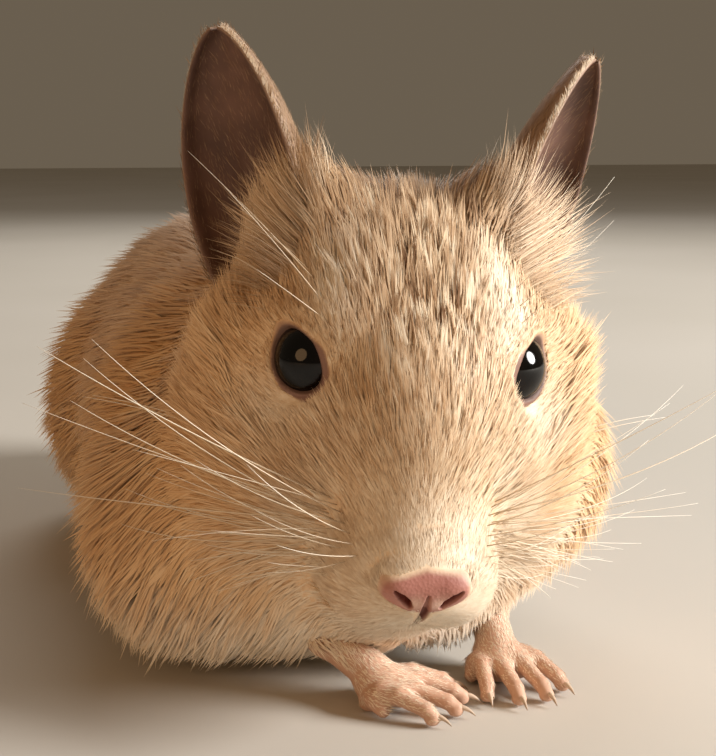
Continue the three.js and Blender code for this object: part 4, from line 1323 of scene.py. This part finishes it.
# ------------------------------------------------------------------ whiskers and claws
def hairs(name, strands, radius, sides=4, steps=14, material=None):
    """Tapered closed tubes along strands: (start, way, length, bend, thickness)."""
    V, F, A = [], [], []
    count = 0
    for start, way, length, bend, thick in strands:
        t = np.linspace(0, 1, steps)
        way = unit(way)
        c = np.asarray(start) + length * (t[:, None] * way + (t ** 2)[:, None] * np.asarray(bend))
        r = radius * thick * (1 - t) ** 0.8 + 0.018
        c[:, 0] = np.maximum(c[:, 0], -46.5)
        c[:, 1] = np.maximum(c[:, 1], -90.0)
        c[:, 2] = np.maximum(c[:, 2], 0.3)
        v, f = tube_mesh(c, r, sides)
        V.append(v)
        F.append(f + count)
        A.append(np.concatenate([np.repeat(t, sides), [0, 1]]))
        count += len(v)
    ob = make_mesh(name, np.concatenate(V), np.concatenate(F))
    add_attribute(ob, "along", np.concatenate(A))
    ob.data.materials.append(material)
    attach(ob, "root")
    return ob


def whiskers():
    m = Mat("whisker", 0.35, 0.5)
    m.colour(m.ramp(m.attr("along"), [(0.0, rgba(206, 180, 148)), (0.25, rgba(228, 208, 180)), (1.0, rgba(246, 238, 222))]))
    r = np.random.default_rng(5)
    strands = []
    for side in (1, -1):
        for row in range(6):
            for col in range(7 if row < 4 else 5):
                y = -12.8 - 1.3 * col + 0.3 * row
                z = -7.2 - 1.45 * row - 0.1 * col
                guess = np.array([side * (8.4 - 0.35 * col + 0.5 * row), y, z])
                p = project(flesh, from_head(guess)[None], 6, 1.5)[0]
                q = to_head(p[None])[0]
                if abs(q[0]) < 2.4:
                    continue
                back = 1 - col / 6.5
                length = (10 + 31 * back ** 1.05) * r.uniform(0.7, 1.12) * (1 - 0.09 * row)
                way = np.array([side * (0.96 + 0.1 * r.normal()), 0.30 * back - 0.12 + 0.10 * r.normal(), 0.46 - 0.24 * row + 0.10 * r.normal()])
                bend = np.array([side * -0.06, 0.20 * r.uniform(0.3, 1.5), -0.20 * r.uniform(-0.2, 1.5)])
                strands.append((p - unit(way @ HEAD_R.T) * 0.6, way @ HEAD_R.T, length, bend @ HEAD_R.T, r.uniform(0.55, 1.0) * (0.65 + 0.35 * back)))
        # over the eye and on the cheek
        for y, z, w, n in ((2.5, 5.0, (0.75, 0.45, 0.85), 15), (5.0, 4.6, (0.85, 0.75, 0.6), 19), (0.5, 4.6, (0.8, 0.05, 0.85), 9), (6.5, 4.0, (0.95, 0.6, 0.35), 12)):
            p = project(flesh, from_head(np.array([side * 10.5, y, z + 1]))[None], 6, 2.0)[0]
            way = (np.array(w) * [side, 1, 1] + r.normal(0, 0.08, 3)) @ HEAD_R.T
            strands.append((p, way, n, np.array([0.05 * side, 0.26, -0.2]) @ HEAD_R.T, 0.4))
        for y, z, n in ((2, -14, 13), (4, -16, 11)):
            p = project(flesh, from_head(np.array([side * 22.0, y, z]))[None], 6, 2.0)[0]
            strands.append((p, np.array([side * 1.0, 0.3, 0.1]) @ HEAD_R.T, n, np.array([0, 0.1, -0.1]), 0.6))
    hairs("whiskers", strands, 0.085, material=m.m)


def claws():
    m = Mat("claw", 0.35, 0.5)
    m.colour(m.ramp(m.attr("along"), [(0.0, rgba(205, 180, 160)), (0.6, rgba(196, 172, 148)), (1.0, rgba(150, 124, 100))]))
    V, F, A = [], [], []
    count = 0

    def claw(base, way, length, r0):
        nonlocal count
        t = np.linspace(0, 1, 7)
        way = unit(way)
        c = np.asarray(base) + length * t[:, None] * way + np.array([0, 0, 1.0]) * (length * (0.22 * t - 0.62 * t ** 2))[:, None]
        c[:, 2] = np.maximum(c[:, 2], 0.12 + 0.25 * (1 - t))
        v, f = tube_mesh(c, r0 * (1 - t) ** 0.75 + 0.04, 8)
        V.append(v)
        F.append(f + count)
        A.append(np.concatenate([np.repeat(t, 8), [0, 1]]))
        count += len(v)

    for side in (1, -1):
        on = arm_frame(side)
        f = on(1, 0, 0) - on(0, 0, 0)
        for c0, l0, c1, l1 in FINGERS:
            w = on(l1, c1, 0) - on(l0, c0, 0)
            claw(on(l1 - 0.85, c1, 1.25), w, 1.9, 0.36)
        for x0, y0, x1, y1 in TOES:
            v = unit(np.array([side * (x1 - x0), y1 - y0, 0]))
            claw(np.array([side * x1, y1, 1.3]) - v * 0.7, v, 2.5, 0.42)
    ob = make_mesh("claws", np.concatenate(V), np.concatenate(F))
    add_attribute(ob, "along", np.concatenate(A))
    ob.data.materials.append(m.m)
    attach(ob, "root")


whiskers()
claws()


# ------------------------------------------------------------------ staging
def staging():
    me = bpy.data.meshes.new("floor")
    z = 0.0
    me.from_pydata([(-3, -3, z), (3, -3, z), (3, 3, z), (-3, 3, z)], [], [(0, 1, 2, 3)])
    floor = bpy.data.objects.new("floor", me)
    bpy.context.scene.collection.objects.link(floor)
    m = Mat("floor", 0.9, 0.1)
    m.colour(m.ramp(m.noise(6.0, 2.0), [(0.3, rgba(196, 190, 180)), (0.7, rgba(202, 196, 187))]))
    me.materials.append(m.m)
    world = bpy.data.worlds.new("world")
    bpy.context.scene.world = world
    world.use_nodes = True
    bg = next(n for n in world.node_tree.nodes if n.type == "BACKGROUND")
    bg.inputs[0].default_value = (0.95, 0.75, 0.52, 1)
    bg.inputs[1].default_value = 0.15
    bpy.context.scene.view_settings.view_transform = "Standard"

    def area(name, at, aim, size, power, colour):
        light = bpy.data.lights.new(name, "AREA")
        light.energy, light.size, light.color = power, size, colour
        light.shape = "DISK"
        ob = bpy.data.objects.new(name, light)
        bpy.context.scene.collection.objects.link(ob)
        at, aim = (Vector((np.array(v) + SHIFT) * 0.001) for v in (at, aim))
        ob.location = at
        ob.rotation_euler = (at - aim).to_track_quat("Z", "Y").to_euler()
        return ob

    area("key", (700, -410, 330), (0, -50, 30), 0.38, 14.8, (1.0, 0.985, 0.96))
    area("fill", (-520, -380, 240), (0, -40, 25), 0.36, 1.0, (1.0, 0.58, 0.28))
    area("rim", (200, 620, 560), (0, -20, 40), 0.5, 2.6, (1.0, 0.97, 0.92))


def camera():
    a, e = math.radians(-18), math.radians(10)
    back = np.array([math.sin(a) * math.cos(e), -math.cos(a) * math.cos(e), math.sin(e)])
    right = np.array([math.cos(a), math.sin(a), 0])
    up = np.cross(back, right)
    at = np.array([0.0, -60, 40]) - right * 6.556 - up * 1.333 + back * 150
    cam = bpy.data.cameras.new("camera")
    cam.lens, cam.sensor_width, cam.sensor_height = 1350 / 756 * 36, 36, 36
    cam.sensor_fit = "AUTO"
    cam.clip_start, cam.clip_end = 0.005, 20
    ob = bpy.data.objects.new("camera", cam)
    bpy.context.scene.collection.objects.link(ob)
    m = np.eye(4)
    m[:3, 0], m[:3, 1], m[:3, 2], m[:3, 3] = right, up, back, (at + SHIFT) * 0.001
    ob.matrix_world = Matrix(m.tolist())
    bpy.context.scene.camera = ob


# ------------------------------------------------------------------ eyes
def eyes():
    m = Mat("eye_gloss", 0.07, 0.3)
    m.colour(m.ramp(m.attr("disc"), [(0.0, rgba(6, 5, 5)), (0.42, rgba(8, 6, 5)), (0.5, rgba(16, 10, 8)), (0.85, rgba(14, 8, 6)), (1.0, rgba(18, 12, 10))]))
    for name, side in (("left", 1), ("right", -1)):
        n, k = 48, 64
        c = from_head(np.array([side * EYE_OUT, 0, 0]))
        ax = (EYE_AXIS * [side, 1, 1]) @ HEAD_R.T
        x = unit(np.cross(ax, [0, 0, 1.0]))
        y = np.cross(ax, x)
        th, ph = np.linspace(0, np.pi, n + 1)[1:-1], np.linspace(0, 2 * np.pi, k, endpoint=False)
        T, Q = np.meshgrid(th, ph, indexing="ij")
        # the clear front bulges a little
        r = EYE_R * (1 + 0.02 * np.exp(-(T / 0.6) ** 2)) * 0.995
        p = c + r[..., None] * (np.cos(T)[..., None] * ax + np.sin(T)[..., None] * (np.cos(Q)[..., None] * x + np.sin(Q)[..., None] * y))
        v = np.vstack([p.reshape(-1, 3), c + ax * EYE_R * 1.015, c - ax * EYE_R])
        i, s = np.meshgrid(np.arange(n - 2), np.arange(k), indexing="ij")
        at = lambda i, s: i * k + s % k
        t = [np.stack([at(i, s), at(i + 1, s), at(i + 1, s + 1)], -1).reshape(-1, 3), np.stack([at(i, s), at(i + 1, s + 1), at(i, s + 1)], -1).reshape(-1, 3)]
        s = np.arange(k)
        t += [np.stack([np.full(k, len(v) - 2), at(0, s), at(0, s + 1)], 1), np.stack([np.full(k, len(v) - 1), at(n - 2, s + 1), at(n - 2, s)], 1)]
        t = np.concatenate(t)
        if volume(v - c, t) < 0:
            t = t[:, ::-1]
        ob = make_mesh(f"eye_{name}_ball", v, t)
        add_attribute(ob, "disc", np.concatenate([T.ravel() / np.pi * 2, [0, 2]]).clip(0, 1))
        ob.data.materials.append(m.m)
        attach(ob, "root")
        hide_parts(f"eye_{name}")


def soft_in(d, width):
    return 1 - smooth_step(d, -width, width)


def zones(p):
    """Where the bare skin shows: nose pad, nostrils, lid margin, lid, lips; ear, inside of the ear, paw, tail."""
    h = to_head(p)
    q = np.stack([np.abs(h[:, 0]), h[:, 1], h[:, 2]], 1)
    nose = soft_in(pad_ring(h) - 1.0, 0.10)
    comma, mouth, cleft = face_lines(h)
    near = (q[:, 1] < -20)
    nostril = soft_in(comma + 0.02, 0.22) * near
    lips = np.maximum(soft_in(cleft - 0.15, 0.25), 0.8 * soft_in(mouth - 0.15, 0.25) * (q[:, 0] < 5)) * (q[:, 1] < -16)
    ring, r, a = eye_ring(q)
    near = (r < 7) & (a > 0)
    margin = soft_in(ring - 1.0, 0.02) * near
    lid = soft_in(ring - 1.03 - 0.12 * in_front(q), 0.04) * near
    ear, inside = np.zeros(len(p)), np.zeros(len(p))
    for side in (1, -1):
        g = h * [side, 1, 1] - np.array(EAR["root"])
        uu, xx, ll = g @ EAR_UP / EAR["height"], g @ EAR_OUT, g @ EAR_LOOK
        half = (EAR["width"] / 2) * np.sin(np.pi * np.clip(0.2 + 0.8 * uu, 0.02, 1)) ** 0.6
        s = np.clip(xx / half, -1.05, 1.05)
        vv = np.arcsin(np.clip(s, -1, 1)) * 2 / np.pi
        deep = EAR["hollow"] * (1 - 0.75 * uu * np.abs(uu)) * np.cos(np.pi / 2 * vv * 0.985) ** 0.8
        on = (uu > -0.25) & (uu < 1.08) & (g[:, 0] > -9) & (np.abs(xx) < half + 3)
        inside = np.maximum(inside, on * smooth_step(ll + deep, -0.1, 0.2))
    fl = flesh(p)
    ear = smooth_step(fl, 0.0, 0.08) * (h[:, 1] > 3) * (p[:, 2] > 34)
    paw = np.zeros(len(p))
    low = p[:, 2] < 22
    for side in (1, -1):
        for f in (fore_field(side), hind_field(side)):
            d = np.full(len(p), 9.0)
            d[low] = f(p[low])
            paw = np.maximum(paw, (np.abs(d) < 0.35) * (p[:, 2] < 14))
    tail = (p[:, 1] > 57) * 1.0
    return np.stack([nose, nostril, lips], 1), np.stack([margin, lid, ear], 1), np.stack([inside, paw, tail], 1)


def skin_material():
    m = Mat("skin", 0.55, 0.35)
    z1, z2, z3 = (separate(m, m.attr(k, "Vector")) for k in ("zone1", "zone2", "zone3"))
    middle = m.attr("middle")
    nose, nostril, lips = z1
    margin, lid, ear = z2
    inside, paw, tail = z3
    mk = separate(m, m.attr("mark", "Vector"))
    fine = m.noise(1400.0, 4.0, 0.6)
    broad = m.noise(160.0, 3.0)
    under = m.mix(1.0, coat_colour(m, fine, mk[0], mk[1], mk[2]), (0.98, 0.91, 0.83, 1), "MULTIPLY")
    pink = m.ramp(fine, [(0.3, rgba(184, 138, 112)), (0.7, rgba(202, 160, 134))])
    c = under
    c = m.mix(tail, c, m.ramp(fine, [(0.3, rgba(120, 96, 78)), (0.7, rgba(150, 124, 102))]))
    c = m.mix(paw, c, m.mix(broad, pink, rgba(206, 168, 144)))
    # ear skin: a dark grey-brown, with painted shade darkening the back and, deeper still, the cup
    back = m.ramp(broad, [(0.3, rgba(142, 114, 94)), (0.7, rgba(164, 136, 114))])
    cup = m.ramp(broad, [(0.3, rgba(84, 60, 50)), (0.55, rgba(104, 76, 64)), (0.8, rgba(126, 94, 80))])
    c = m.mix(ear, c, m.mix(inside, back, cup))
    # the mouth line and the split lip: dark lip skin, with painted shade in these creases
    c = m.mix(lips, c, rgba(116, 60, 48))
    c = m.mix(nose, c, m.ramp(broad, [(0.3, rgba(156, 100, 88)), (0.7, rgba(184, 128, 114))]))
    c = m.mix(m.math("MULTIPLY", middle, nose), c, rgba(216, 178, 160))
    # nostrils: reddish-brown skin in the pressed-in pits, made darker as painted shade of the openings
    c = m.mix(nostril, c, rgba(116, 56, 46))
    c = m.mix(lid, c, rgba(138, 104, 90))
    c = m.mix(margin, c, rgba(40, 26, 22))
    m.colour(c)
    v = m.node("ShaderNodeTexVoronoi", Scale=2600.0)
    tc = m.node("ShaderNodeTexCoord")
    m.link(tc.outputs["Object"], v.inputs["Vector"])
    grain = m.math("MULTIPLY", v.outputs[0], m.math("ADD", nose, m.math("MULTIPLY", paw, 0.5)))
    m.bump(m.math("ADD", m.math("MULTIPLY", fine, 0.6), grain), 0.35, 0.0001)
    return m.m


sv = np.empty(len(skin.data.vertices) * 3, np.float32)
skin.data.vertices.foreach_get("co", sv)
sp = sv.reshape(-1, 3) * 1000 - SHIFT
for key, value in zip(("zone1", "zone2", "zone3"), zones(sp)):
    add_attribute(skin, key, value)
add_attribute(skin, "mark", marks(sp))
sh = to_head(sp)
add_attribute(skin, "middle", bell(np.stack([np.abs(sh[:, 0]), sh[:, 2]], 1), [1.3, -8.2], [1.0, 0.9]))
skin.data.materials.clear()
skin.data.materials.append(skin_material())
skin.data.polygons.foreach_set("use_smooth", np.ones(len(skin.data.polygons), bool))
skin.data.polygons.foreach_set("material_index", np.zeros(len(skin.data.polygons), np.int32))
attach(skin, "root")
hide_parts("head", "neck", "trunk", "tail", "ear_left", "ear_right", "hindleg_left", "hindleg_right", "hindfoot_left", "hindfoot_right", "foreleg_left", "foreleg_right")
eyes()
camera()
staging()
say("done")
